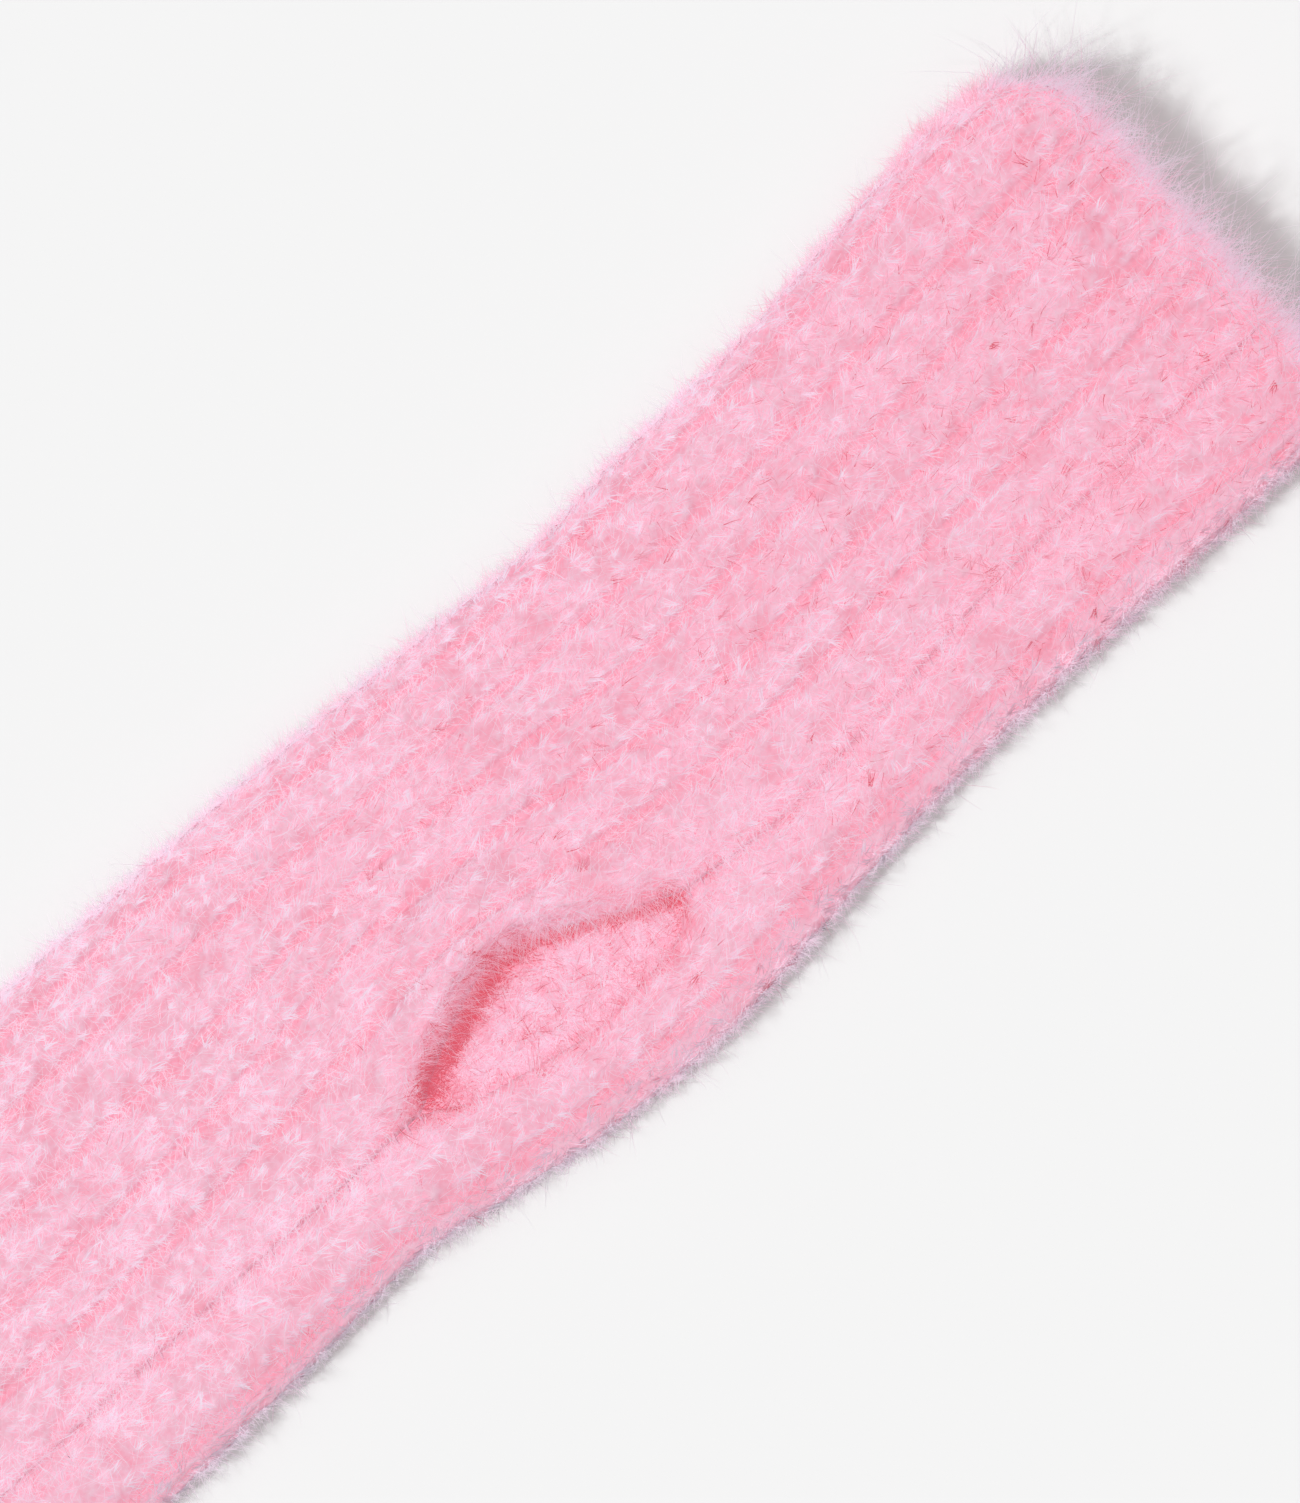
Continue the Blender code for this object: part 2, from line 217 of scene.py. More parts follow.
# The pile. A coat is one kind of fibre. Its fibres stand in tufts, each with its own slant and tone.
Coat = namedtuple("Coat", "name seed place tufts fibres spread steps shortest longest width lean_low "
                          "lean_high scatter curl tone_from tone_to")
COATS = (
    Coat("stitch_pile", 11, "stitches", 5600, 10, 0.36, 2, 1.8, 3.8, 0.17, 62, 82, 0.3, 0.6, 0.40, 0.82),
    Coat("short_pile", 12, "all", 12500, 5, 0.8, 2, 1.5, 4.0, 0.10, 56, 84, 0.8, 1.6, 0.40, 0.84),
    Coat("long_pile", 13, "all", 7000, 4, 1.2, 3, 3.5, 9.0, 0.06, 62, 86, 0.5, 1.5, 0.6, 1.0),
    Coat("edge_pile", 19, "edges", 5000, 6, 0.7, 2, 2.0, 5.0, 0.06, 15, 70, 0.6, 1.4, 0.7, 1.0),
    Coat("fringe", 14, "ends", 1400, 5, 1.1, 4, 2.5, 11.5, 0.085, 62, 98, 0.8, 3.0, 0.8, 1.0),
    Coat("rim_pile", 18, "ends", 1000, 7, 0.8, 2, 1.5, 4.2, 0.09, 66, 96, 0.45, 1.0, 0.5, 0.8),
    Coat("seam_pile", 15, "seam", 1700, 7, 0.7, 3, 2.2, 5.0, 0.10, 66, 90, 0.35, 0.8, 0.4, 0.75),
    Coat("inside_pile", 16, "inside", 1900, 9, 0.6, 2, 1.6, 3.6, 0.14, 60, 82, 0.4, 0.7, 0.3, 0.84),
    Coat("lip_pile", 17, "lip", 330, 5, 0.6, 3, 3.0, 8.5, 0.06, 66, 92, 0.4, 1.2, 0.35, 0.75),
)

STANDING = ("ends", "edges")  # the places whose fibres stand off the cloth and throw shadows

# Where tufts grow. Bands and margins across the cloth are in ribs.
SPARE_TUFTS = 6  # places drawn for each tuft
END_MARGIN, ROOT_MARGIN, LEG_MARGIN = 0.3, 0.05, 0.5
EDGE_MARGIN = 0.02
FRINGE_MARGIN, FRINGE_BIAS = 0.1, 1.5
FRINGE_ROOTS = 3.6  # how far in from the ends the fringe starts
FAR_FOLD, NEAR_FOLD, FOLD_BAND = 5.45, 13.75, 0.85
FAR_FOLD_SHARE = 0.6  # of the tufts along the two folds
SEAM_BAND = 0.28
INSIDE_X, INSIDE_Q, INSIDE_MARGIN = (-32.0, 54.0), (9.6, 14.7), 4.0
LIP_X, LIP_BAND = (-22.0, 46.0), 0.45

# How many tufts stand there, as shares of the places drawn
UNDERSIDE_SHARE = 0.12
UNDERSIDE_MARGIN = 0.7
FAR_PART_SHARE = 0.6  # on the part that the view doesn't reach
FAR_PART_BELOW = -100.0
FAR_CORNER_IN, FAR_CORNER_OUT = (4.6, 5.2), (7.4, 6.8)
FAR_FOLD_IN, FAR_FOLD_OUT, NEAR_FOLD_IN, NEAR_FOLD_TO = (5.2, 6.0), (8.2, 7.2), (12.8, 13.6), 14.9
EDGE_CORNER = (140.0, 165.0)
SHORT_SHARE, SHORT_IN_PATCHES, SHORT_IN_GROOVES, SHORT_LESS_BARE = 0.7, 0.4, 0.6, 0.75
STITCH_LESS_BESIDE, STITCH_LESS_BARE = 0.5, 0.9
ARM_END_SHARE, UNDER_END_SHARE, FAR_CORNER_LESS = 0.6, 0.6, 0.75
EDGE_FAR_PART, EDGE_SHARE, EDGE_CORNER_MORE = 0.4, 0.6, 0.4
SEAM_SHARE, LOWER_LIP_MORE, UPPER_LIP_MORE, BESIDE_OPENING_MORE = 0.6, -0.1, 0.4, 0.4

# How fibres slant and bend. Turns are in radians from +X, leans in degrees from upright.
LEG_TURN, LEG_TURN_SPREAD = 0.5, 0.25
TURNED_BACK = 0.35  # tufts that point the other way
LOOSE_TURN_SPREAD, LOOSE_LESS_BESIDE = 0.8, 0.8
END_TURN_SPREAD = 0.55
RIM_REACH, RIM_OUTWARD = 3.0, 1.6
LIP_DROOP, UPPER_DROOP_BAND, LOWER_DROOP_BAND = 1.2, 0.35, 0.3
LEAN_SPREAD, LEAN_BESIDE = 6.0, 9.0
LEAN_LEAST, LEAN_MOST = 20.0, 100.0
SHORT_BIAS = 1.6
LENGTH_LEAST, LENGTH_MOST = 0.75, 1.25
CORNER_LONGER, LONGER_BAND = 0.4, (150.0, 175.0)
TUFT_BEND = 0.7
GATHERED = 0.45  # how far a tuft's tips come together
SAG = 0.3
BEND_SPREAD, BEND_STRENGTH = 0.3, 0.6
FLOOR_CLEARANCE = 0.12
FLOOR_SPREAD = 0.2
TOP_CLEARANCE = 22.0  # no hair stands higher

# A fibre is a ribbon in two, three or four steps: how far along it each one ends and how wide it is there
Taper = namedtuple("Taper", "shares widths")
TAPERS = {
    2: Taper((0.0, 0.55, 1.0), (1.0, 0.7, 0.0)),
    3: Taper((0.0, 0.4, 0.75, 1.0), (1.0, 0.9, 0.6, 0.0)),
    4: Taper((0.0, 0.3, 0.57, 0.8, 1.0), (1.0, 0.95, 0.8, 0.5, 0.0)),
}

# Which way a ribbon faces
FACING_OUT, FACING_UP, FACING_SPREAD = 0.6, 0.5, 0.3
ON_FOLD, ON_SIDE = (0.9, 0.3), (1.0, 0.2)  # how far up or down the cloth still faces on the folds
FACES_DOWN, UNDERSIDE_OUT = -0.3, -0.9

# How a fibre takes the light: the share of up in its normal, and how far it turns to the near side
UP_AT_ENDS, UP_AT_EDGES, UP_AT_FAR_EDGE, UP_ON_TOP, UP_ON_FAR_FOLD = 1.5, 0.6, 1.4, 0.2, 1.3
TO_NEAR, TO_NEAR_BAND = 0.95, (13.0, 3.0)
NORMAL_SPREAD = 0.12

# How pale a fibre is: 0 is the deepest pink and 1 almost white
DEEP_TUFT, DEEP_TUFT_SHARE = 0.22, 0.06
DEEP_FIBRE, DEEP_FIBRE_SHARE = 0.22, 0.09
LONG_FROM = 5.0  # coats of longer fibres have no deep ones
TONE_SPREAD = 0.1
TONE_SHIFT = 0.02
PALER_LEFT, LEFT_BAND = 0.15, (40.0, -60.0)
DEEPER_RIGHT, RIGHT_BAND = 0.1, (60.0, 170.0)
PALER_BESIDE = 0.35
# Painted shade: fibres are deeper pink in the grooves between the ribs
GROOVE_SHADE_TONE = 0.11
# Painted shade on the seam just outside the thumb opening's two ends, fading across the seam
OPENING_END_SHADE, BY_SEAM_BAND = 0.35, (0.3, 0.05)
TONE_IN_PATCHES = 0.12
# Paler towards the far edge: partly its pale fibres, partly painted light where the far side is lit
PALER_FAR, FAR_BAND = 0.13, (16.0, 5.0)
DEEPER_FAR_EDGE = 0.4
TIP_PLACE = 0.4  # where along a fibre its place in the hollow is read
# How much of the thumb opening's painted shade each kind of coat takes
OPENING_SHADE_SHARES = {"lip": 0.3, "inside": 1.0}
OPENING_SHADE_SHARE = 0.68
MAP_MARGIN, TONE_MARGIN = 0.02, 0.01  # the pile's UV map keeps this far inside its square

# The picture
PHOTO_SIZE = (1300, 1503)
PHOTO_PIXEL = 0.1735  # millimetres on the cloth
AIM = (53.7, -2.2)  # the section table's place at the middle of the picture
AIM_HEIGHT = 8.0
TURN = 42.5  # +X points this far above the picture's horizontal, in degrees
LENS, SENSOR = 150.0, 36.0
FLOOR_HALF = 4000.0
FLOOR_TONE = 0.913  # how bright the floor looks
FLOOR_COLOUR = 0.45  # a low one, so that the cloth's pink is hardly thrown on it
AMBIENT = 0.30

# Colours, as (place, colour) pairs from the deepest to the palest or from the top of the yarn to its pits
# The yarn's deeper colours are painted shade in its pits, its grooves and its hollows
YARN_AND_SHADE_COLOURS = ((0.0, (0.87, 0.56, 0.67)), (0.4, (0.87, 0.50, 0.62)), (0.75, (0.86, 0.42, 0.53)),
                (1.0, (0.70, 0.16, 0.23)))
GRAIN_TINTS = ((0.3, (0.98, 0.64, 0.70)), (0.65, (1.0, 1.0, 1.0)))
THREAD_COLOURS = ((0.35, (0.86, 0.42, 0.55)), (0.65, (0.88, 0.56, 0.68)))
# The pile's roots are deeper than its tips, partly as painted shade deep in the pile; its deepest tones
# are mostly reached through painted shade in the thumb opening
ROOT_COLOURS_AND_SHADE = ((0.0, (0.66, 0.08, 0.12)), (0.3, (0.81, 0.30, 0.41)), (0.6, (0.825, 0.50, 0.63)),
                (1.0, (0.845, 0.68, 0.80)))
TIP_COLOURS = ((0.0, (0.70, 0.13, 0.19)), (0.3, (0.83, 0.44, 0.555)), (0.6, (0.835, 0.64, 0.755)),
               (1.0, (0.86, 0.80, 0.89)))
YARN_GRAIN, THREAD_GRAIN = 900.0, 1400.0
GRAIN_DETAIL = 6.0
GRAIN_STRENGTH = 0.55
BUMP_STRENGTH, BUMP_HEIGHT = 0.3, 0.0004
MIX_FIRST, MIX_SECOND, MIX_RESULT = 6, 7, 2  # the colour sockets of a mix node

# The lights: where each one shines to, how high it stands, what it adds on a flat surface, how many
# degrees wide it is (0 for one that leaves no shadows), what it lights and its tint. The pile lets light
# through, so the cloth's light leaves no shadows.
WHITE = (1.0, 1.0, 1.0)
Light = namedtuple("Light", "name x y elevation strength size lit tint", defaults=(WHITE,))
LIGHTS = (
    Light("floor_key", 0.94, -0.34, 47, 0.99, 7, "floor", (0.98, 1.01, 1.006)),
    Light("floor_sky", 0.0, 0.0, 90, 0.22, 120, "floor"),
    Light("floor_fill", 0.0, 0.0, 90, 0.52, 0, "floor", (1.04, 0.98, 0.99)),
    Light("fringe_top", 0.0, 0.0, 90, 0.52, 0, "fringe"),
    Light("edges_top", 0.0, 0.0, 90, 0.9, 0, "edges"),
    Light("cloth_key", 0.85, -0.53, 55, 0.07, 0, "cloth"),
    Light("cloth_top", 0.0, 0.0, 90, 0.50, 0, "cloth"),
    Light("cloth_far", 0.5, -0.85, 50, 0.10, 0, "cloth"),
    Light("cloth_near", -0.5, 0.85, 45, 0.03, 0, "cloth"),
)


def ease(low, high, value):
    """0 at low and 1 at high, with a soft rise between them."""
    share = np.clip((value - low) / (high - low), 0.0, 1.0)
    return share * share * (3.0 - 2.0 * share)


def unit(vectors):
    """The same directions, each one long."""
    return vectors / np.linalg.norm(vectors, axis=1)[:, None]


def read_table(rows, x, column):
    """A column's values at x, on a smooth curve through the table's rows."""
    places = np.array([row.x for row in rows], float)
    values = np.array([getattr(row, column) for row in rows], float)
    slopes = np.empty_like(values)
    slopes[1:-1] = (values[2:] - values[:-2]) / (places[2:] - places[:-2])
    slopes[0] = (values[1] - values[0]) / (places[1] - places[0])
    slopes[-1] = (values[-1] - values[-2]) / (places[-1] - places[-2])
    x = np.clip(x, places[0], places[-1])
    after = np.clip(np.searchsorted(places, x), 1, len(places) - 1)
    before = after - 1
    width = places[after] - places[before]
    share = (x - places[before]) / width
    rest = 1.0 - share
    bend = width * share * rest * (slopes[before] * rest - slopes[after] * share)
    return (values[before] * rest * rest * (1.0 + 2.0 * share)
            + values[after] * share * share * (3.0 - 2.0 * share) + bend)


def lines_at(x):
    """Every line of the form at x."""
    lines = SimpleNamespace(**{name: read_table(SECTIONS, x, name) for name in Section._fields[1:]})
    lines.rise = np.maximum(lines.rise, 0.0)
    lips = {name: np.maximum(read_table(LIPS, x, name), 0.0) for name in Lip._fields[1:]}
    lines.upper = lines.seam + SEAM_GAP / 2 + lips["upper"]
    lines.lower = lines.seam - SEAM_GAP / 2 - lips["lower"]
    lines.raised = lips["raised"]
    lines.apart = np.minimum(1.0, (lips["upper"] + lips["lower"]) / LIPS_APART)
    lines.radius = lines.height / 2
    return lines


def roll(distance):
    """Height of the upper lip's roll, as a share of its most, at a distance from the lip's edge."""
    near = LIP_EDGE + (1.0 - LIP_EDGE) * np.sin(np.pi / 2 * np.clip(distance / LIP_CREST, 0.0, 1.0))
    beyond = 1.0 - ease(LIP_CREST, LIP_CREST + LIP_SLOPE, distance)
    return np.where(distance < LIP_CREST, near, beyond)


def top_height(lines, y, on_upper):
    """Height of the tube's top side at y."""
    low, high = lines.near + lines.radius, lines.far - lines.radius
    across = np.clip((2.0 * y - low - high) / (high - low), -1.0, 1.0)
    height = lines.rise + lines.height + CROWN * (1.0 - across * across) ** 2
    return height + on_upper * lines.raised * roll(y - lines.upper)


def envelope(x, q):
    """Points of the wall's outer form and the directions that face out, at x and q."""
    lines = lines_at(x)
    far_centre, near_centre = lines.far - lines.radius, lines.near + lines.radius
    fold = np.pi * lines.radius
    far_flat = lines.far - lines.groove_1 - lines.radius
    near_flat = lines.groove_7 - lines.near - lines.radius
    far_rest = far_flat + fold - SIDE_RIB
    near_rest = near_flat + fold - SIDE_RIB
    bottom = far_centre - near_centre
    whole = far_rest + bottom + near_rest
    down = (q - UNDERSIDE_FROM) / (UNDERSIDE_TO - UNDERSIDE_FROM) * whole

    far_run = np.where(q < UNDERSIDE_FROM, (q - FAR_GROOVE) * SIDE_RIB, SIDE_RIB + down)
    near_run = np.where(q > UNDERSIDE_TO, (NEAR_GROOVE - q) * SIDE_RIB, SIDE_RIB + whole - down)
    on_far = down < far_rest
    side = np.where(on_far, 1.0, -1.0)
    run = np.where(on_far, far_run, near_run)
    flat = np.where(on_far, far_flat, near_flat)
    centre = np.where(on_far, far_centre, near_centre)

    on_path = (q > FAR_GROOVE) & (q < NEAR_GROOVE)
    on_bottom = on_path & (down > far_rest) & (down < far_rest + bottom)
    on_fold = on_path & ~on_bottom & (run > flat)
    angle = np.pi / 2 - (run - flat) / lines.radius

    grooves = np.stack([lines.upper, lines.groove_5, lines.groove_4, lines.groove_3, lines.groove_2,
                        lines.groove_1])
    number = np.clip(np.floor(q).astype(int), 0, len(grooves) - 2)
    column = np.arange(len(q))
    between = grooves[number, column] + (q - number) * (grooves[number + 1, column]
                                                        - grooves[number, column])
    on_flat_side = np.where(on_far, lines.groove_1 + run, lines.groove_7 - run)
    by_seam = lines.groove_7 + (q - NEAR_GROOVE) * (lines.lower - lines.groove_7)
    y = np.where(q <= FAR_GROOVE, between, np.where(q >= NEAR_GROOVE, by_seam, on_flat_side))
    on_upper = q < FAR_HALF
    step = 0.25
    z = top_height(lines, y, on_upper)
    slope = (top_height(lines, y + step, on_upper) - top_height(lines, y - step, on_upper)) / (2 * step)
    length = np.hypot(slope, 1.0)
    out_y, out_z = -slope / length, 1.0 / length

    y = np.where(on_fold, centre + side * lines.radius * np.cos(angle), y)
    z = np.where(on_fold, lines.rise + lines.radius * (1.0 + np.sin(angle)), z)
    out_y = np.where(on_fold, side * np.cos(angle), out_y)
    out_z = np.where(on_fold, np.sin(angle), out_z)
    y = np.where(on_bottom, far_centre - (down - far_rest), y)
    z = np.where(on_bottom, lines.rise, z)
    out_y = np.where(on_bottom, 0.0, out_y)
    out_z = np.where(on_bottom, -1.0, out_z)

    back = np.zeros_like(x)
    for end in ENDS:
        near_end = ease(END_BLEND, 0.0, np.abs(x - end.x))
        far = ease(lines.far - end.corner_width, lines.far, y)
        near = ease(-lines.near - end.corner_width, -lines.near, -y)
        back += end.side * near_end * (end.far_corner * far ** 2 + end.near_corner * near ** 2)
    points = np.stack([x - back, y - MIDDLE_Y, z], axis=1)
    out = np.stack([np.zeros_like(x), out_y, out_z], axis=1)
    return points, out, lines


def patches(x, q, kind):
    """Soft random patches, from 0 to 1."""
    u, v = x / kind.length, q * kind.in_rib
    table = np.random.default_rng(kind.seed).random((PATCH_TABLE, PATCH_TABLE))
    low_u, low_v = np.floor(u).astype(int), np.floor(v).astype(int)
    share_u, share_v = ease(0, 1, u - low_u), ease(0, 1, v - low_v)

    def corner(du, dv):
        return table[(low_u + du) % PATCH_TABLE, (low_v + dv) % PATCH_TABLE]

    low = corner(0, 0) * (1 - share_u) + corner(1, 0) * share_u
    high = corner(0, 1) * (1 - share_u) + corner(1, 1) * share_u
    return low * (1 - share_v) + high * share_v


def of_stitch(first, second, seed):
    """One random number for each stitch, from 0 to 1."""
    table = np.random.default_rng(seed).random((STITCH_ROWS, STITCH_COLUMNS))
    return table[first.astype(int) % STITCH_ROWS, second.astype(int) % STITCH_COLUMNS]


def stitches(x, q):
    """Height of the stitches, from 0 in the pits to 1 on the yarn, and where a pit is bare."""
    share = q - np.floor(q)
    across = (share - WALE_FROM) / (WALE_TO - WALE_FROM) * WALES
    in_wale = across - np.floor(across)
    wale = np.floor(q) * WALE_NUMBERS + np.floor(across)
    from_middle = np.abs(2.0 * in_wale - 1.0)
    course = x / COURSE + STITCH_SLANT * from_middle + WALE_SHIFT * of_stitch(wale, wale, SHIFT_SEED)
    along = course - np.floor(course)
    number = np.floor(course) + FIRST_COURSE
    leg = np.sin(np.pi * np.clip(from_middle, 0.0, 1.0)) ** STITCH_ROUNDNESS
    row = np.sin(np.pi * along) ** STITCH_ROUNDNESS
    height = leg * (COURSE_EDGE + (1.0 - COURSE_EDGE) * row)
    height *= STITCH_LEAST + STITCH_SPREAD * of_stitch(wale, number, STITCH_SEED)
    bare = of_stitch(2 * wale + (in_wale > 0.5), number, BARE_SEED) > 1.0 - BARE_SHARE
    in_wales = (across > 0) & (across < WALES)
    height = np.where(in_wales, np.minimum(height, STITCH_MOST), GROOVE_STITCH * row)
    return height * (1.0 - BARE_DEPTH * (bare & in_wales)), bare & in_wales


def ribs_from_seam(q):
    return np.minimum(q, RIBS - q)


def knit_depth(x, q, lines):
    """How far the yarn lies below the wall's outside."""
    share = q - np.floor(q)
    from_seam = ribs_from_seam(q)
    under = ease(UNDERSIDE_FROM, UNDERSIDE_FROM + 1, q)
    under *= ease(UNDERSIDE_TO, UNDERSIDE_TO - 1, q)
    pressed = 1.0 - PRESSED * under
    welt = 1.0 - ease(WELT_LENGTH, WELT_LENGTH + WELT_BLEND, KNIT_HALF - np.abs(x))
    broad = RIB_DEPTH * (1.0 - np.abs(np.sin(np.pi * share)) ** RIB_ROUNDNESS)
    broad *= GROOVE_LEAST + GROOVE_SPREAD * patches(x, np.floor(q + 0.5), GROOVE_PATCHES)
    fine = WELT_DROP + WELT_DEPTH * (1.0 - np.abs(np.sin(np.pi * WELT_RIBS * share)) ** WELT_ROUNDNESS)
    depth = broad + welt * (fine - broad)
    by_edge = ease(LIP_ROUNDED, 0.0, from_seam)
    depth *= 1.0 - LIP_FLATTENED * lines.apart * by_edge
    depth += LIP_ROUNDING * lines.apart * by_edge ** 1.5
    depth *= 1.0 - SEAM_FLATTENED * (1.0 - lines.apart) * ease(SEAM_WIDTH, 0.0, from_seam)
    depth *= 1.0 - (1.0 - FLAT_RIB_SHARE) * under
    depth += STITCH_DEPTH * (1.0 - stitches(x, q)[0]) * pressed
    depth += UNEVENNESS * (patches(x, q, HEIGHT_PATCHES) - 0.5) * (1.0 - under)
    return PILE * pressed + depth


def by_groove(q):
    """1 in the grooves between the ribs, 0 on the ribs."""
    return ease(*GROOVE_SHADE, np.abs(q - np.round(q)))


def shade(kind, distance, to_left):
    """How strong a painted shade of the thumb opening is at a distance from its line."""
    return (kind.strength + kind.more_left * to_left) * ease(kind.none_at, kind.full_at, distance)


def opening_shade(x, y, q, lines, on_lower):
    """How much painted shade a place gets in the thumb opening's hollow, from 0 to 1: there the pink is
    painted deeper where shade falls.
    """
    to_left = ease(*LEFT_PART, x)
    strength = ALONG_OPENING + ALONG_LEFT * to_left + RIGHT_CORNER_MORE * ease(*RIGHT_CORNER, x)
    crease = shade(CREASE_CORE, lines.upper - y, to_left)
    crease += shade(CREASE_SIDES, lines.upper - y, to_left)
    crease += shade(LOWER_FOOT, y - lines.lower, to_left)
    crease *= 1.0 - CREASE_END_LOSS * ease(*CREASE_END, x)
    upper_lip = shade(UPPER_LIP, y - lines.upper, to_left)
    at_end = LIP_END_MORE * ease(*LIP_END, x)
    upper_lip += at_end * ease(UPPER_LIP.none_at, UPPER_LIP.full_at, y - lines.upper)
    lower_lip = shade(LOWER_LIP, lines.lower - y, to_left)
    open_here = ease(0.0, OPENING_FULL_SHADE, lines.apart)
    on_lip = np.where(q < UPPER_LIP_RIBS, upper_lip * strength, np.where(q > NEAR_GROOVE, lower_lip, 0.0))
    return np.clip(open_here * np.where(on_lower, crease * strength, on_lip), 0.0, 1.0)


def beside_opening(x):
    """1 on the seam just left of the thumb opening, less just right of it, 0 elsewhere."""
    return sum(end.strength * ease(end.none_at, end.full_at, np.abs(x - end.x))
               for end in BESIDE_OPENING)


def close_seam(points, q, lines):
    """Bring the knit's two edges together across the gap of the seam, but not at the thumb opening."""
    closing = ease(RIBS - SEAM_CLOSED, RIBS, q) - ease(SEAM_CLOSED, 0.0, q)
    points[:, 1] += SEAM_CLOSING * (1.0 - lines.apart) * closing


def outer_yarn(x, q):
    """Points of the knit's outside, the directions that face out there, and how deep it lies."""
    points, out, lines = envelope(x, q)
    end = ease(END_ROUNDING_LENGTH, 0.0, KNIT_HALF - np.abs(x))
    depth = knit_depth(x, q, lines) + END_ROUNDING * end ** 2
    depth = np.minimum(depth, INSIDE - THINNEST)
    close_seam(points, q, lines)
    return points - out * depth[:, None], out, depth


def inner_yarn(x, q):
    """Points of the knit's inside, where each rib shows as a shallow trough, and its pits."""
    points, out, lines = envelope(x, q)
    end = ease(END_ROUNDING_LENGTH, 0.0, KNIT_HALF - np.abs(x))
    share = q - np.floor(q)
    trough = TROUGH_DEPTH * np.abs(np.sin(np.pi * share)) ** TROUGH_ROUNDNESS
    on_floor = (out[:, 2] < UNDERSIDE_OUT) & (q > UNDERSIDE_FROM) & (q < UNDERSIDE_TO)
    along, across = (x - BULGE.x) / BULGE.length, (points[:, 1] + MIDDLE_Y - BULGE.y) / BULGE.width
    bulge = BULGE.height * ease(1.0, 0.0, np.hypot(along, across)) * on_floor
    pits = 1.0 - stitches(x + INSIDE_SHIFT[0], q + INSIDE_SHIFT[1])[0]
    close_seam(points, q, lines)
    depth = INSIDE + TROUGH_DEPTH - trough - INSIDE_END_ROUNDING * end ** 2
    depth += bulge - BULGE_PITS * pits * np.minimum(bulge, 1.0)
    return points - out * depth[:, None], out, pits


def add_mesh(name, points, faces, smooth=True):
    """An object of these points, in millimetres, and faces, each group an array of one face size."""
    mesh = bpy.data.meshes.new(name)
    mesh.vertices.add(len(points))
    mesh.vertices.foreach_set("co", (points * MILLIMETRE).astype(np.float32).ravel())
    groups = [np.asarray(group, np.int32) for group in faces if len(group)]
    corners = np.concatenate([group.ravel() for group in groups])
    sizes = np.concatenate([np.full(len(group), group.shape[1], np.int32) for group in groups])
    mesh.loops.add(len(corners))
    mesh.loops.foreach_set("vertex_index", corners)
    mesh.polygons.add(len(sizes))
    mesh.polygons.foreach_set("loop_start", np.concatenate([[0], np.cumsum(sizes)[:-1]]).astype(np.int32))
    mesh.update(calc_edges=True)
    mesh.validate()
    mesh.polygons.foreach_set("use_smooth", np.full(len(mesh.polygons), smooth))
    piece = bpy.data.objects.new(name, mesh)
    bpy.context.scene.collection.objects.link(piece)
    return piece


def add_map(piece, places):
    """A UV map with one place for each vertex."""
    mesh = piece.data
    corners = np.empty(len(mesh.loops), np.int32)
    mesh.loops.foreach_get("vertex_index", corners)
    layer = mesh.uv_layers.new(name=UV_MAP)
    layer.uv.foreach_set("vector", places[corners].astype(np.float32).ravel())


def grid_faces(rows, columns, first, turned=False):
    """Quads of a grid of points, stored row by row."""
    corner = (np.arange(rows - 1)[:, None] * columns + np.arange(columns - 1)[None, :]).ravel() + first
    quads = np.stack([corner, corner + columns, corner + columns + 1, corner + 1], axis=1)
    return quads[:, ::-1] if turned else quads


def zip_edges(first, first_places, second, second_places):
    """Triangles that join two rows of points, each with its places from 0 to 1 along the row."""
    triangles = []
    a = b = 0
    while a < len(first) - 1 or b < len(second) - 1:
        next_a = first_places[a + 1] if a < len(first) - 1 else math.inf
        next_b = second_places[b + 1] if b < len(second) - 1 else math.inf
        if next_a <= next_b:
            triangles.append((first[a], first[a + 1], second[b]))
            a += 1
        else:
            triangles.append((first[a], second[b + 1], second[b]))
            b += 1
    return np.array(triangles)


def divided(stretches):
    """Places along stretches that follow each other, each in its own number of steps."""
    parts = [np.linspace(s.start, s.end, s.steps, endpoint=False) for s in stretches]
    return np.concatenate(parts + [[float(stretches[-1].end)]])


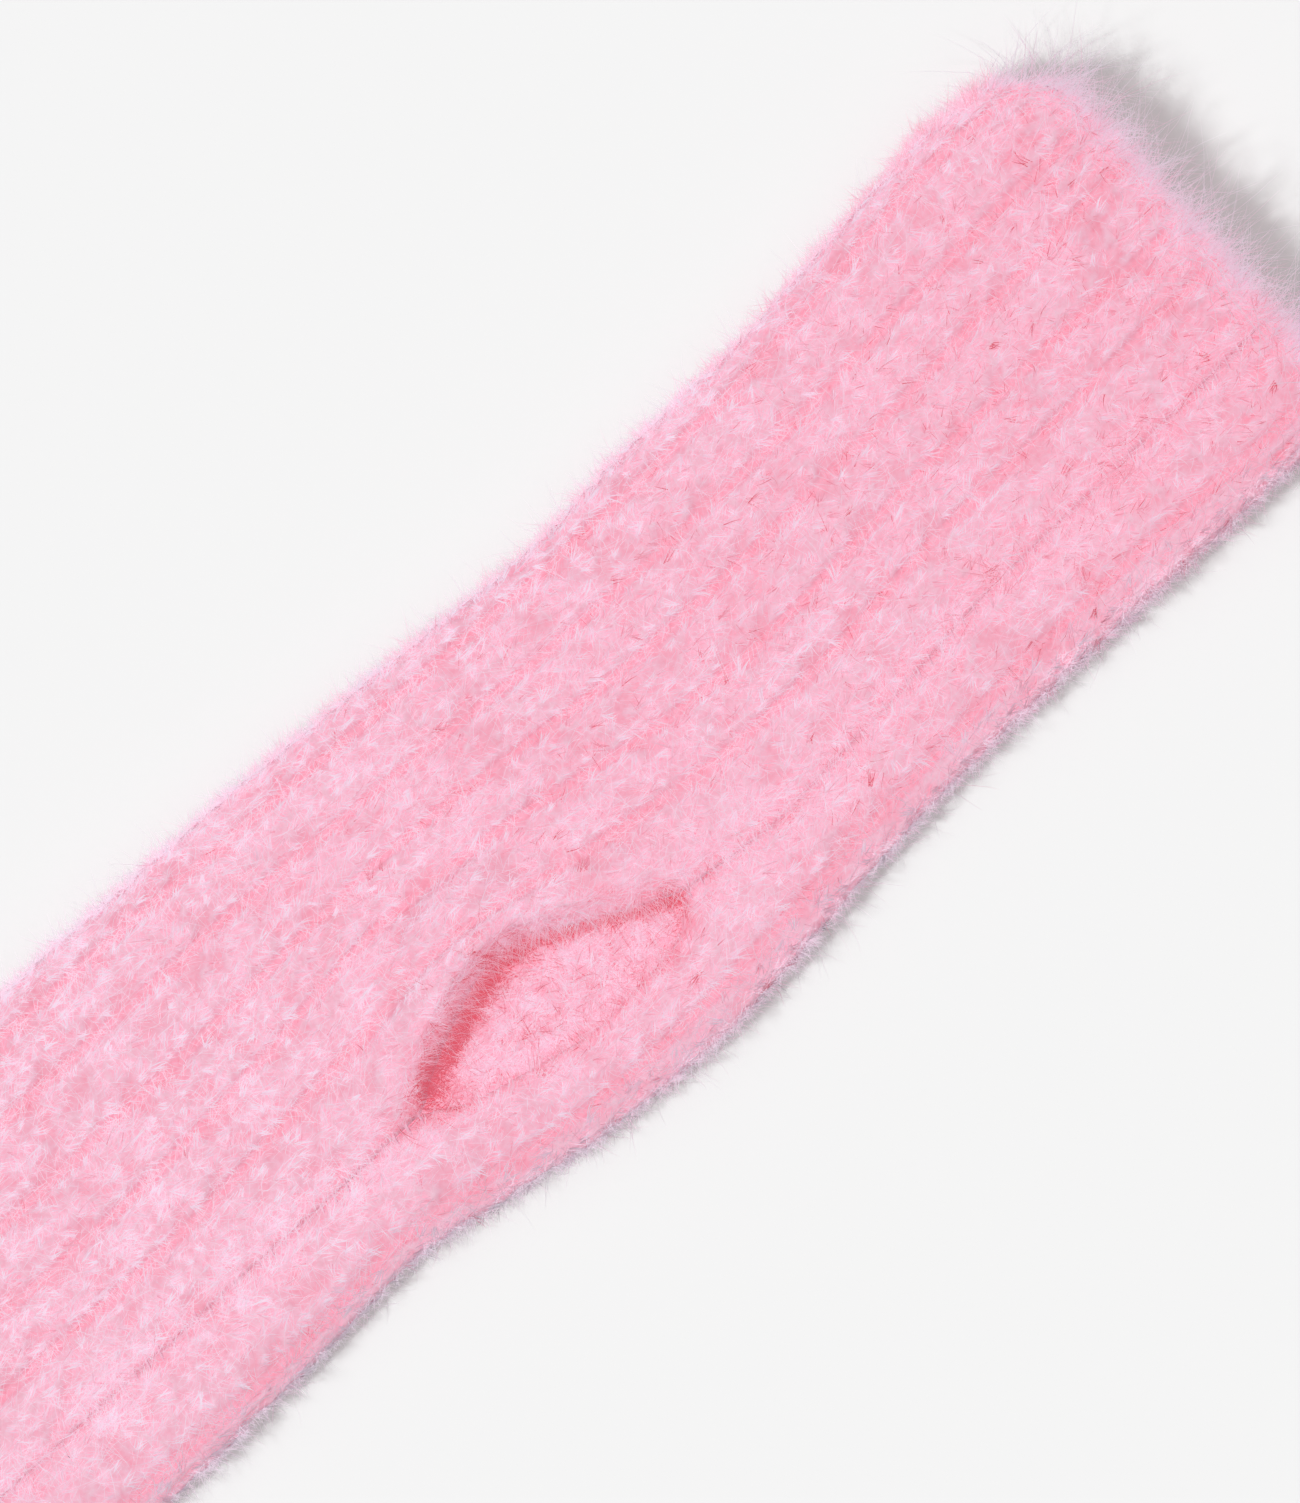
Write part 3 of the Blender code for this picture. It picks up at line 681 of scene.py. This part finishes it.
def knit_shell():
    """The knit itself: its ribbed outside, its inside and its rims, as one closed wall."""
    outer_x, outer_q = divided(OUTER_ROWS), divided(OUTER_COLUMNS)
    inner_x, inner_q = divided(INNER_ROWS), divided(INNER_COLUMNS)
    x, q = (part.ravel() for part in np.meshgrid(outer_x, outer_q, indexing="ij"))
    outside, _, depth = outer_yarn(x, q)
    inner_xs, inner_qs = (part.ravel() for part in np.meshgrid(inner_x, inner_q, indexing="ij"))
    inside, _, pits = inner_yarn(inner_xs, inner_qs)
    rows, columns, first_inner = len(outer_x), len(outer_q), len(outside)
    inner_rows, inner_columns = len(inner_x), len(inner_q)

    outer_index = np.arange(first_inner).reshape(rows, columns)
    inner_index = np.arange(len(inside)).reshape(inner_rows, inner_columns) + first_inner
    rims = [
        zip_edges(outer_index[:, 0], outer_x, inner_index[:, 0], inner_x)[:, ::-1],
        zip_edges(outer_index[:, -1], outer_x, inner_index[:, -1], inner_x),
        zip_edges(outer_index[0], outer_q, inner_index[0], inner_q),
        zip_edges(outer_index[-1], outer_q, inner_index[-1], inner_q)[:, ::-1],
    ]
    piece = add_mesh("rib_knit", np.concatenate([outside, inside]), [
        grid_faces(rows, columns, 0),
        grid_faces(inner_rows, inner_columns, first_inner, turned=True),
        np.concatenate(rims),
    ])
    outer_map = np.stack([q / RIBS, 0.5 + x / HALF_LENGTH / 2], axis=1) * (OUTER_MAP, 1.0)
    inner_map = np.stack([inner_qs / RIBS, 0.5 + inner_xs / HALF_LENGTH / 2], axis=1)
    inner_map = inner_map * (INNER_MAP, 1.0) + (1.0 - INNER_MAP, 0.0)
    add_map(piece, np.concatenate([outer_map, inner_map]))
    # Painted shade: the knit is deeper where it lies deep, in its pits, on its inside and in the thumb
    # opening
    outer_pits = 1.0 - stitches(x, q)[0]
    inside_opening_shade = opening_shade(inner_xs, inside[:, 1] + MIDDLE_Y, inner_qs, lines_at(inner_xs), True)
    pit_shade = np.concatenate([DEPTH_SHADE_PART * (depth - PILE) / RIB_DEPTH + PIT_SHADE_PART * outer_pits,
                          INSIDE_SHADE_PART + INSIDE_PIT_SHADE_PART * pits + OPENING_SHADE_PART * inside_opening_shade])
    attribute = piece.data.attributes.new("pit_shade", "FLOAT", "POINT")
    attribute.data.foreach_set("value", np.clip(pit_shade, 0.0, 1.0).astype(np.float32))
    piece.data.materials.append(knit_material())
    return piece


def linking_thread():
    """Small loops of yarn across the seam, one to a course, on both sides of the thumb opening."""
    radius, reach, slant, arch, margin, closed = 0.28, 1.3, 0.5, 0.35, 4.0, 0.02
    sunk = PILE + 0.75 * RIB_DEPTH + 0.15
    sides, steps = 5, 6
    xs = np.arange(-HALF_LENGTH + margin, HALF_LENGTH - margin, COURSE)
    xs = xs[lines_at(xs).apart < closed]
    points, faces = [], []
    angles = np.linspace(0, 2 * np.pi, sides, endpoint=False)
    for x in xs:
        across = np.linspace(-1.0, 1.0, steps)
        lines = lines_at(np.full(steps, x))
        upper = across > 0
        y = np.where(upper, lines.upper, lines.lower) + across * reach
        z = top_height(lines, y, upper) - sunk + arch * (1.0 - across ** 2)
        route = np.stack([x + slant * across, y - MIDDLE_Y, z], axis=1)
        slope = unit(np.gradient(route, axis=0))
        aside = unit(np.cross(slope, (0.0, 0.0, 1.0)))
        above = np.cross(aside, slope)
        first = len(points) * steps * sides
        ring = route[:, None] + radius * (np.cos(angles)[None, :, None] * aside[:, None]
                                          + np.sin(angles)[None, :, None] * above[:, None])
        points.append(ring.reshape(-1, 3))
        for step in range(steps - 1):
            for number in range(sides):
                a, b = first + step * sides + number, first + step * sides + (number + 1) % sides
                faces.append((a, b, b + sides, a + sides))
    piece = add_mesh("linking_thread", np.concatenate(points), [np.array(faces)])
    piece.data.materials.append(thread_material())
    piece.visible_shadow = False
    return piece


def stitch_legs(random):
    """Middles of the legs of the stitches as x and q, and the way each leg slants."""
    courses = np.arange(-HALF_LENGTH / COURSE - 1, HALF_LENGTH / COURSE + 2)
    rib, wale, leg, course = (part.ravel() for part in np.meshgrid(
        np.arange(RIBS), np.arange(WALES), (-1, 1), np.floor(courses), indexing="ij"))
    number = rib * WALE_NUMBERS + wale
    phase = WALE_SHIFT * of_stitch(number, number, SHIFT_SEED)
    x = (course + 0.5 - STITCH_SLANT * 0.5 - phase) * COURSE
    q = rib + WALE_FROM + (wale + 0.5 + 0.25 * leg) / WALES * (WALE_TO - WALE_FROM)
    order = random.permutation(np.flatnonzero(np.abs(x) < KNIT_HALF - LEG_MARGIN))
    return x[order], q[order], leg[order]


def by_folds(q):
    """1 on the two folds, 0 on the flat cloth."""
    far = ease(*FAR_FOLD_IN, q) * ease(*FAR_FOLD_OUT, q)
    return far + ease(*NEAR_FOLD_IN, q) * (q < NEAR_FOLD_TO)


def tuft_places(coat, random):
    """Places where the tufts of a coat may stand, as x and q, and the way they slant."""
    spare = coat.tufts * SPARE_TUFTS
    x = random.uniform(-KNIT_HALF + END_MARGIN, KNIT_HALF - END_MARGIN, spare)
    q = random.uniform(EDGE_MARGIN, RIBS - EDGE_MARGIN, spare)
    leg = random.choice((-1, 1), spare)
    if coat.place == "stitches":
        x, q, leg = stitch_legs(random)
    elif coat.place == "ends":
        x = np.sign(x) * (KNIT_HALF - FRINGE_MARGIN - FRINGE_ROOTS * random.random(spare) ** FRINGE_BIAS)
    elif coat.place == "inside":
        x, q = random.uniform(*INSIDE_X, spare), random.uniform(*INSIDE_Q, spare)
    elif coat.place == "seam":
        q = EDGE_MARGIN + SEAM_BAND * random.random(spare)
        q = np.where(random.random(spare) < 0.5, q, RIBS - q)
    elif coat.place == "edges":
        on_far = random.random(spare) < FAR_FOLD_SHARE
        q = np.where(on_far, FAR_FOLD + FOLD_BAND * random.random(spare),
                     NEAR_FOLD + FOLD_BAND * random.random(spare))
    elif coat.place == "lip":
        x, q = random.uniform(*LIP_X, spare), EDGE_MARGIN + LIP_BAND * random.random(spare)
    return x, q, leg


def tuft_chance(coat, x, q):
    """The share of the places drawn at x and q where a tuft stands."""
    under = (q > UNDERSIDE_FROM + UNDERSIDE_MARGIN) & (q < UNDERSIDE_TO - UNDERSIDE_MARGIN)
    chance = np.where(under, UNDERSIDE_SHARE, np.where(x < FAR_PART_BELOW, FAR_PART_SHARE, 1.0))
    if coat.place == "all":
        kind = TUFT_PATCHES._replace(seed=TUFT_PATCHES.seed + coat.seed)
        chance *= (SHORT_SHARE + SHORT_IN_PATCHES * (patches(x, q, kind) - 0.5)
                   + SHORT_IN_GROOVES * by_groove(q))
        chance *= 1.0 - SHORT_LESS_BARE * stitches(x, q)[1]
    elif coat.place == "stitches":
        chance *= (1.0 - STITCH_LESS_BESIDE * by_folds(q)) * (1.0 - STITCH_LESS_BARE * stitches(x, q)[1])
    elif coat.place == "ends":
        chance = np.where(x < 0, ARM_END_SHARE, 1.0) * np.where(under, UNDER_END_SHARE, 1.0)
        chance *= 1.0 - FAR_CORNER_LESS * ease(*FAR_CORNER_IN, q) * ease(*FAR_CORNER_OUT, q)
    elif coat.place == "edges":
        chance = np.where(x < FAR_PART_BELOW, EDGE_FAR_PART, EDGE_SHARE)
        chance = chance + EDGE_CORNER_MORE * (q < FAR_HALF) * ease(*EDGE_CORNER, x)
    elif coat.place == "seam":
        more = np.where(q > FAR_HALF, LOWER_LIP_MORE, UPPER_LIP_MORE)
        chance *= SEAM_SHARE + lines_at(x).apart * more + BESIDE_OPENING_MORE * beside_opening(x)
    elif coat.place == "lip":
        chance = lines_at(x).apart
    elif coat.place == "inside":
        points, _, lines = envelope(x, q)
        y = points[:, 1] + MIDDLE_Y
        below = (y > lines.lower - INSIDE_MARGIN) & (y < lines.upper + INSIDE_MARGIN)
        chance = 1.0 * (below & (lines.apart > 0.0))
    return chance


def draw_tufts(coat, random):
    """Where the tufts of a coat stand, as x and q, and the way they slant."""
    x, q, leg = tuft_places(coat, random)
    kept = np.flatnonzero(random.random(len(x)) < tuft_chance(coat, x, q))[:coat.tufts]
    x, q, leg = x[kept], q[kept], leg[kept]
    turn = leg * random.normal(LEG_TURN, LEG_TURN_SPREAD, len(x))
    turn += np.pi * (random.random(len(x)) < TURNED_BACK)
    if coat.place in ("all", "inside", "seam"):
        turn += random.normal(0.0, LOOSE_TURN_SPREAD, len(x)) * (1.0 - LOOSE_LESS_BESIDE * by_folds(q))
    elif coat.place == "ends":
        turn = np.where(x > 0, 0.0, np.pi) + random.normal(0.0, END_TURN_SPREAD, len(x))
    return x, q, turn


def grow_fibres(coat, random):
    """A coat's fibres: where they grow and which way, how long and pale they are and how they bend."""
    tuft_x, tuft_q, tuft_turn = draw_tufts(coat, random)
    tufts = len(tuft_x)
    tuft_lean = random.uniform(coat.lean_low, coat.lean_high, tufts)
    tuft_tone = random.uniform(coat.tone_from, coat.tone_to, tufts)
    tuft_tone -= DEEP_TUFT * (random.random(tufts) < DEEP_TUFT_SHARE)
    tuft_length = coat.shortest + (coat.longest - coat.shortest) * random.random(tufts) ** SHORT_BIAS
    tuft_bend = random.normal(0.0, TUFT_BEND, tufts)

    owner = np.repeat(np.arange(tufts), coat.fibres)
    count = len(owner)
    aside_x, aside_q = random.normal(0.0, coat.spread, (2, count))
    x = np.clip(tuft_x[owner] + aside_x, -KNIT_HALF + ROOT_MARGIN, KNIT_HALF - ROOT_MARGIN)
    q = np.clip(tuft_q[owner] + aside_q / SIDE_RIB, EDGE_MARGIN, RIBS - EDGE_MARGIN)
    if coat.place == "inside":
        roots, out, _ = inner_yarn(x, q)
        out = -out
    else:
        roots, out, _ = outer_yarn(x, q)
    lines = lines_at(x)

    along_x = np.tile((1.0, 0.0, 0.0), (count, 1))
    around = np.cross(out, along_x)
    turn = tuft_turn[owner] + coat.scatter * random.normal(0.0, 1.0, count)
    tangent = np.cos(turn)[:, None] * along_x + np.sin(turn)[:, None] * around
    rim = np.clip(1.0 - (KNIT_HALF - np.abs(x)) / RIM_REACH, 0.0, 1.0)
    tangent += (RIM_OUTWARD * rim * np.sign(x))[:, None] * along_x
    if coat.place != "inside":
        over_lip = lines.apart * (ease(UPPER_DROOP_BAND, 0.0, q)
                                  - ease(RIBS - LOWER_DROOP_BAND, RIBS, q))
        tangent -= LIP_DROOP * over_lip[:, None] * around
    tangent = unit(tangent)

    beside = ease(*ON_FOLD, np.abs(out[:, 2])) * (coat.place not in STANDING)
    lean = tuft_lean[owner] + random.normal(0.0, LEAN_SPREAD, count) + LEAN_BESIDE * beside
    lean = np.radians(np.clip(lean, LEAN_LEAST, LEAN_MOST))
    length = tuft_length[owner] * random.uniform(LENGTH_LEAST, LENGTH_MOST, count)
    if coat.place == "edges":
        length *= 1.0 + CORNER_LONGER * (q < FAR_HALF) * ease(*LONGER_BAND, x)
    direction = np.cos(lean)[:, None] * out + np.sin(lean)[:, None] * tangent
    gather = GATHERED * (aside_x[:, None] * along_x + aside_q[:, None] * around)
    direction -= gather / length[:, None]
    bend = np.cross(direction, out) * tuft_bend[owner][:, None] - SAG * out
    bend += BEND_SPREAD * random.normal(0.0, 1.0, (count, 3))
    bend *= BEND_STRENGTH * coat.curl
    up = np.array((0.0, 0.0, 1.0)) * np.where(out[:, 2:] > FACES_DOWN, 1.0, -1.0)
    return SimpleNamespace(count=count, x=x, q=q, lines=lines, roots=roots, out=out, up=up, beside=beside,
                           length=length, direction=direction, bend=bend, tone=tuft_tone[owner])


def ribbon_points(coat, fibres, random):
    """The points of the fibres' ribbons, in pairs along each one and single at its tip."""
    count, up = fibres.count, fibres.up
    facing = FACING_OUT * fibres.out + FACING_UP * up + FACING_SPREAD * random.normal(0.0, 1.0, (count, 3))
    middle = unit(fibres.direction + 0.5 * fibres.bend)
    seen = np.sum((facing - np.sum(facing * middle, axis=1)[:, None] * middle) * up, axis=1)
    facing *= np.where(seen < 0.0, -1.0, 1.0)[:, None]
    rings = []
    for share, width in zip(*TAPERS[coat.steps]):
        way = share * fibres.direction + 0.5 * share ** 2 * fibres.bend
        place = fibres.roots + fibres.length[:, None] * way
        lowest = FLOOR_CLEARANCE + FLOOR_SPREAD * share * random.random(count)
        place[:, 2] = np.clip(place[:, 2], lowest, TOP_CLEARANCE)
        aside = unit(np.cross(fibres.direction + share * fibres.bend, facing))
        half = 0.5 * coat.width * width * aside
        rings += [place] if width == 0.0 else [place - half, place + half]
    return np.stack(rings, axis=1).reshape(-1, 3)


def soft_normals(coat, fibres, random):
    """The way in which each fibre takes the light: as the cloth under it does, and as if it faced up."""
    on_side = ease(*ON_SIDE, np.abs(fibres.out[:, 2]))
    far = fibres.q < FAR_HALF
    upward = {"ends": UP_AT_ENDS, "edges": UP_AT_EDGES + UP_AT_FAR_EDGE * far}
    upward = upward.get(coat.place, UP_ON_TOP + UP_ON_FAR_FOLD * on_side * far) * np.ones(fibres.count)
    soft = fibres.out + upward[:, None] * fibres.up
    soft += NORMAL_SPREAD * random.normal(0.0, 1.0, (fibres.count, 3))
    if coat.place not in STANDING:
        from_near = fibres.roots[:, 1] + MIDDLE_Y - fibres.lines.near
        soft[:, 1] -= TO_NEAR * ease(*TO_NEAR_BAND, from_near)
    return unit(soft)


def fibre_tones(coat, fibres, random):
    """How pale each fibre is, from the deepest pink at 0 to almost white at 1, with painted shade in the
    grooves, by the thumb opening and in its hollow, and some painted light on the far side.
    """
    x, q, lines = fibres.x, fibres.q, fibres.lines
    tone = fibres.tone + random.normal(0.0, TONE_SPREAD, fibres.count)
    if coat.longest < LONG_FROM:
        tone -= DEEP_FIBRE * (random.random(fibres.count) < DEEP_FIBRE_SHARE)
    paler_left = PALER_LEFT * ease(*LEFT_BAND, x)
    tone += TONE_SHIFT + paler_left - DEEPER_RIGHT * ease(*RIGHT_BAND, x)
    tone += PALER_BESIDE * fibres.beside
    by_seam = ease(*BY_SEAM_BAND, ribs_from_seam(q))
    # Painted shade: deeper pink in the grooves and on the seam at the thumb opening's ends
    tone -= GROOVE_SHADE_TONE * by_groove(q) + OPENING_END_SHADE * beside_opening(x) * by_seam
    tone += TONE_IN_PATCHES * (patches(x, q, TONE_PATCHES) - 0.5)
    # Paler towards the far edge, partly painted light on the lit far side; the far edge's own pile is
    # deeper
    from_far = lines.far - fibres.roots[:, 1] - MIDDLE_Y
    at_edge = DEEPER_FAR_EDGE * (coat.place == "edges")
    tone += (q < FAR_HALF) * (PALER_FAR * ease(*FAR_BAND, from_far) - at_edge)
    # Painted shade: fibres in the thumb opening's hollow are deeper pink, read part way along each fibre
    y = fibres.roots[:, 1] + TIP_PLACE * fibres.length * fibres.direction[:, 1] + MIDDLE_Y
    shade_share = OPENING_SHADE_SHARES.get(coat.place, OPENING_SHADE_SHARE)
    tone -= shade_share * opening_shade(x, y, q, lines, coat.place == "inside")
    return np.clip(tone, TONE_MARGIN, 1.0 - TONE_MARGIN)


def fibre_coat(coat):
    """One coat of the pile: thin tapered ribbons that grow out of the yarn, lean over and curl."""
    random = np.random.default_rng(coat.seed)
    fibres = grow_fibres(coat, random)
    points = ribbon_points(coat, fibres, random)
    per_fibre = 2 * coat.steps + 1
    first = np.arange(fibres.count) * per_fibre
    quads = [np.stack([first + 2 * k, first + 2 * k + 1, first + 2 * k + 3, first + 2 * k + 2], axis=1)
             for k in range(coat.steps - 1)]
    last = 2 * (coat.steps - 1)
    tips = np.stack([first + last, first + last + 1, first + last + 2], axis=1)
    piece = add_mesh(coat.name, points, quads + [tips])
    normals = soft_normals(coat, fibres, random)
    piece.data.normals_split_custom_set_from_vertices(np.repeat(normals, per_fibre, axis=0))
    tones = fibre_tones(coat, fibres, random)
    taper = TAPERS[coat.steps]
    heights = np.repeat(taper.shares, [1 if width == 0.0 else 2 for width in taper.widths])
    heights = MAP_MARGIN + (1.0 - 2 * MAP_MARGIN) * np.tile(heights, fibres.count)
    add_map(piece, np.stack([np.repeat(tones, per_fibre), heights], axis=1))
    piece.visible_shadow = coat.place in STANDING
    return piece


def new_material(name, roughness, specular):
    """A new material, its nodes, its links and its shader."""
    material = bpy.data.materials.new(name)
    material.use_nodes = True
    nodes = material.node_tree.nodes
    shader = nodes["Principled BSDF"]
    shader.inputs["Roughness"].default_value = roughness
    shader.inputs["Specular IOR Level"].default_value = specular
    return material, nodes, material.node_tree.links, shader


def add_ramp(nodes, stops):
    """A colour ramp from (place, colour) pairs."""
    ramp = nodes.new("ShaderNodeValToRGB")
    elements = ramp.color_ramp.elements
    while len(elements) < len(stops):
        elements.new(0.5)
    for element, (place, colour) in zip(elements, stops):
        element.position = place
        element.color = (*colour, 1.0)
    return ramp


def add_grain(nodes, links, scale):
    """A fine noise in the object's own coordinates."""
    place = nodes.new("ShaderNodeTexCoord")
    grain = nodes.new("ShaderNodeTexNoise")
    grain.inputs["Scale"].default_value = scale
    links.new(place.outputs["Object"], grain.inputs["Vector"])
    return grain


def knit_material():
    """Brushed yarn: pale on the stitches, with painted shade that makes it deeper and warmer in the pits,
    and a fibrous grain.
    """
    material, nodes, links, shader = new_material("brushed_yarn", roughness=0.95, specular=0.15)
    pit_shade = nodes.new("ShaderNodeAttribute")
    pit_shade.attribute_name = "pit_shade"
    depth = add_ramp(nodes, YARN_AND_SHADE_COLOURS)
    links.new(pit_shade.outputs["Fac"], depth.inputs["Fac"])
    grain = add_grain(nodes, links, YARN_GRAIN)
    grain.inputs["Detail"].default_value = GRAIN_DETAIL
    tint = nodes.new("ShaderNodeMix")
    tint.data_type = "RGBA"
    tint.blend_type = "MULTIPLY"
    tint.inputs["Factor"].default_value = GRAIN_STRENGTH
    tints = add_ramp(nodes, GRAIN_TINTS)
    links.new(grain.outputs["Fac"], tints.inputs["Fac"])
    links.new(depth.outputs["Color"], tint.inputs[MIX_FIRST])
    links.new(tints.outputs["Color"], tint.inputs[MIX_SECOND])
    links.new(tint.outputs[MIX_RESULT], shader.inputs["Base Color"])
    bump = nodes.new("ShaderNodeBump")
    bump.inputs["Strength"].default_value = BUMP_STRENGTH
    bump.inputs["Distance"].default_value = BUMP_HEIGHT
    links.new(grain.outputs["Fac"], bump.inputs["Height"])
    links.new(bump.outputs["Normal"], shader.inputs["Normal"])
    return material


def thread_material():
    """Plain yarn with a fine grain."""
    material, nodes, links, shader = new_material("linking_yarn", roughness=0.9, specular=0.15)
    grain = add_grain(nodes, links, THREAD_GRAIN)
    colour = add_ramp(nodes, THREAD_COLOURS)
    links.new(grain.outputs["Fac"], colour.inputs["Fac"])
    links.new(colour.outputs["Color"], shader.inputs["Base Color"])
    return material


def pile_material():
    """Fine fibres: deep pink at the root, partly as painted shade deep in the pile, paler to the tip, from
    full pink to almost white ones.
    """
    material, nodes, links, shader = new_material("brushed_pile", roughness=0.7, specular=0.2)
    place = nodes.new("ShaderNodeUVMap")
    place.uv_map = UV_MAP
    parts = nodes.new("ShaderNodeSeparateXYZ")
    links.new(place.outputs["UV"], parts.inputs["Vector"])
    along = nodes.new("ShaderNodeMix")
    along.data_type = "RGBA"
    links.new(parts.outputs["Y"], along.inputs["Factor"])
    for colours, socket in ((ROOT_COLOURS_AND_SHADE, MIX_FIRST), (TIP_COLOURS, MIX_SECOND)):
        ramp = add_ramp(nodes, colours)
        links.new(parts.outputs["X"], ramp.inputs["Fac"])
        links.new(ramp.outputs["Color"], along.inputs[socket])
    links.new(along.outputs[MIX_RESULT], shader.inputs["Base Color"])
    return material


def build_stage():
    """A pale floor, a soft even sky, and a backdrop of the floor's tone past the floor's edge."""
    corners = np.array([(-1, -1, 0), (1, -1, 0), (1, 1, 0), (-1, 1, 0)]) * FLOOR_HALF
    floor = add_mesh("floor", corners, [np.array([(0, 1, 2, 3)])], smooth=False)
    material, _, _, shader = new_material("pale_floor", roughness=1.0, specular=0.0)
    shader.inputs["Base Color"].default_value = (FLOOR_COLOUR, FLOOR_COLOUR, FLOOR_COLOUR, 1.0)
    floor.data.materials.append(material)

    world = bpy.data.worlds.new("studio")
    bpy.context.scene.world = world
    world.use_nodes = True
    nodes, links = world.node_tree.nodes, world.node_tree.links
    sky, backdrop = nodes["Background"], nodes.new("ShaderNodeBackground")
    for background, strength in ((sky, AMBIENT), (backdrop, FLOOR_TONE)):
        background.inputs["Color"].default_value = (*WHITE, 1.0)
        background.inputs["Strength"].default_value = strength
    path = nodes.new("ShaderNodeLightPath")
    choice = nodes.new("ShaderNodeMixShader")
    links.new(path.outputs["Is Camera Ray"], choice.inputs["Fac"])
    links.new(sky.outputs["Background"], choice.inputs[1])
    links.new(backdrop.outputs["Background"], choice.inputs[2])
    links.new(choice.outputs["Shader"], nodes["World Output"].inputs["Surface"])
    return floor


def add_lights(lit):
    """The lights, each kept to the pieces that it lights."""
    groups = {}
    for name, pieces in lit.items():
        groups[name] = bpy.data.collections.new(name)
        for piece in pieces:
            groups[name].objects.link(piece)
    for light in LIGHTS:
        elevation = math.radians(light.elevation)
        travel = Vector((light.x, light.y, 0.0)).normalized() * math.cos(elevation)
        travel.z = -math.sin(elevation)
        sun = bpy.data.objects.new(light.name, bpy.data.lights.new(light.name, "SUN"))
        sun.data.energy = math.pi * light.strength / math.sin(elevation)
        sun.data.angle = math.radians(light.size)
        sun.data.use_shadow = light.size > 0
        sun.data.color = light.tint
        sun.rotation_euler = travel.to_track_quat("-Z", "Y").to_euler()
        sun.light_linking.receiver_collection = groups[light.lit]
        bpy.context.scene.collection.objects.link(sun)


def place_camera():
    """Straight down, turned so that the arm warmer runs to the picture's upper right."""
    camera = bpy.data.objects.new("camera", bpy.data.cameras.new("camera"))
    camera.data.lens = LENS
    camera.data.sensor_width = SENSOR
    height = PHOTO_SIZE[1] * PHOTO_PIXEL
    distance = height * LENS / SENSOR
    camera.location = Vector((AIM[0], AIM[1] - MIDDLE_Y, AIM_HEIGHT + distance)) * MILLIMETRE
    camera.rotation_euler = (0.0, 0.0, math.radians(-TURN))
    camera.data.clip_start, camera.data.clip_end = 0.05, 20.0
    bpy.context.scene.collection.objects.link(camera)
    bpy.context.scene.camera = camera


def build():
    bpy.context.scene.view_settings.view_transform = "Standard"
    place_camera()
    floor = build_stage()
    shell = knit_shell()
    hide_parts(NODE)
    thread = linking_thread()
    pile = pile_material()
    coats = [fibre_coat(coat) for coat in COATS]
    for coat in coats:
        coat.data.materials.append(pile)
    for piece in [shell, thread, *coats]:
        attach(piece, BODY)
    lit = {"floor": [floor], "fringe": [], "edges": [], "cloth": [shell, thread]}
    for coat in coats:
        lit[{"fringe": "fringe", "edge_pile": "edges"}.get(coat.name, "cloth")].append(coat)
    add_lights(lit)


build()
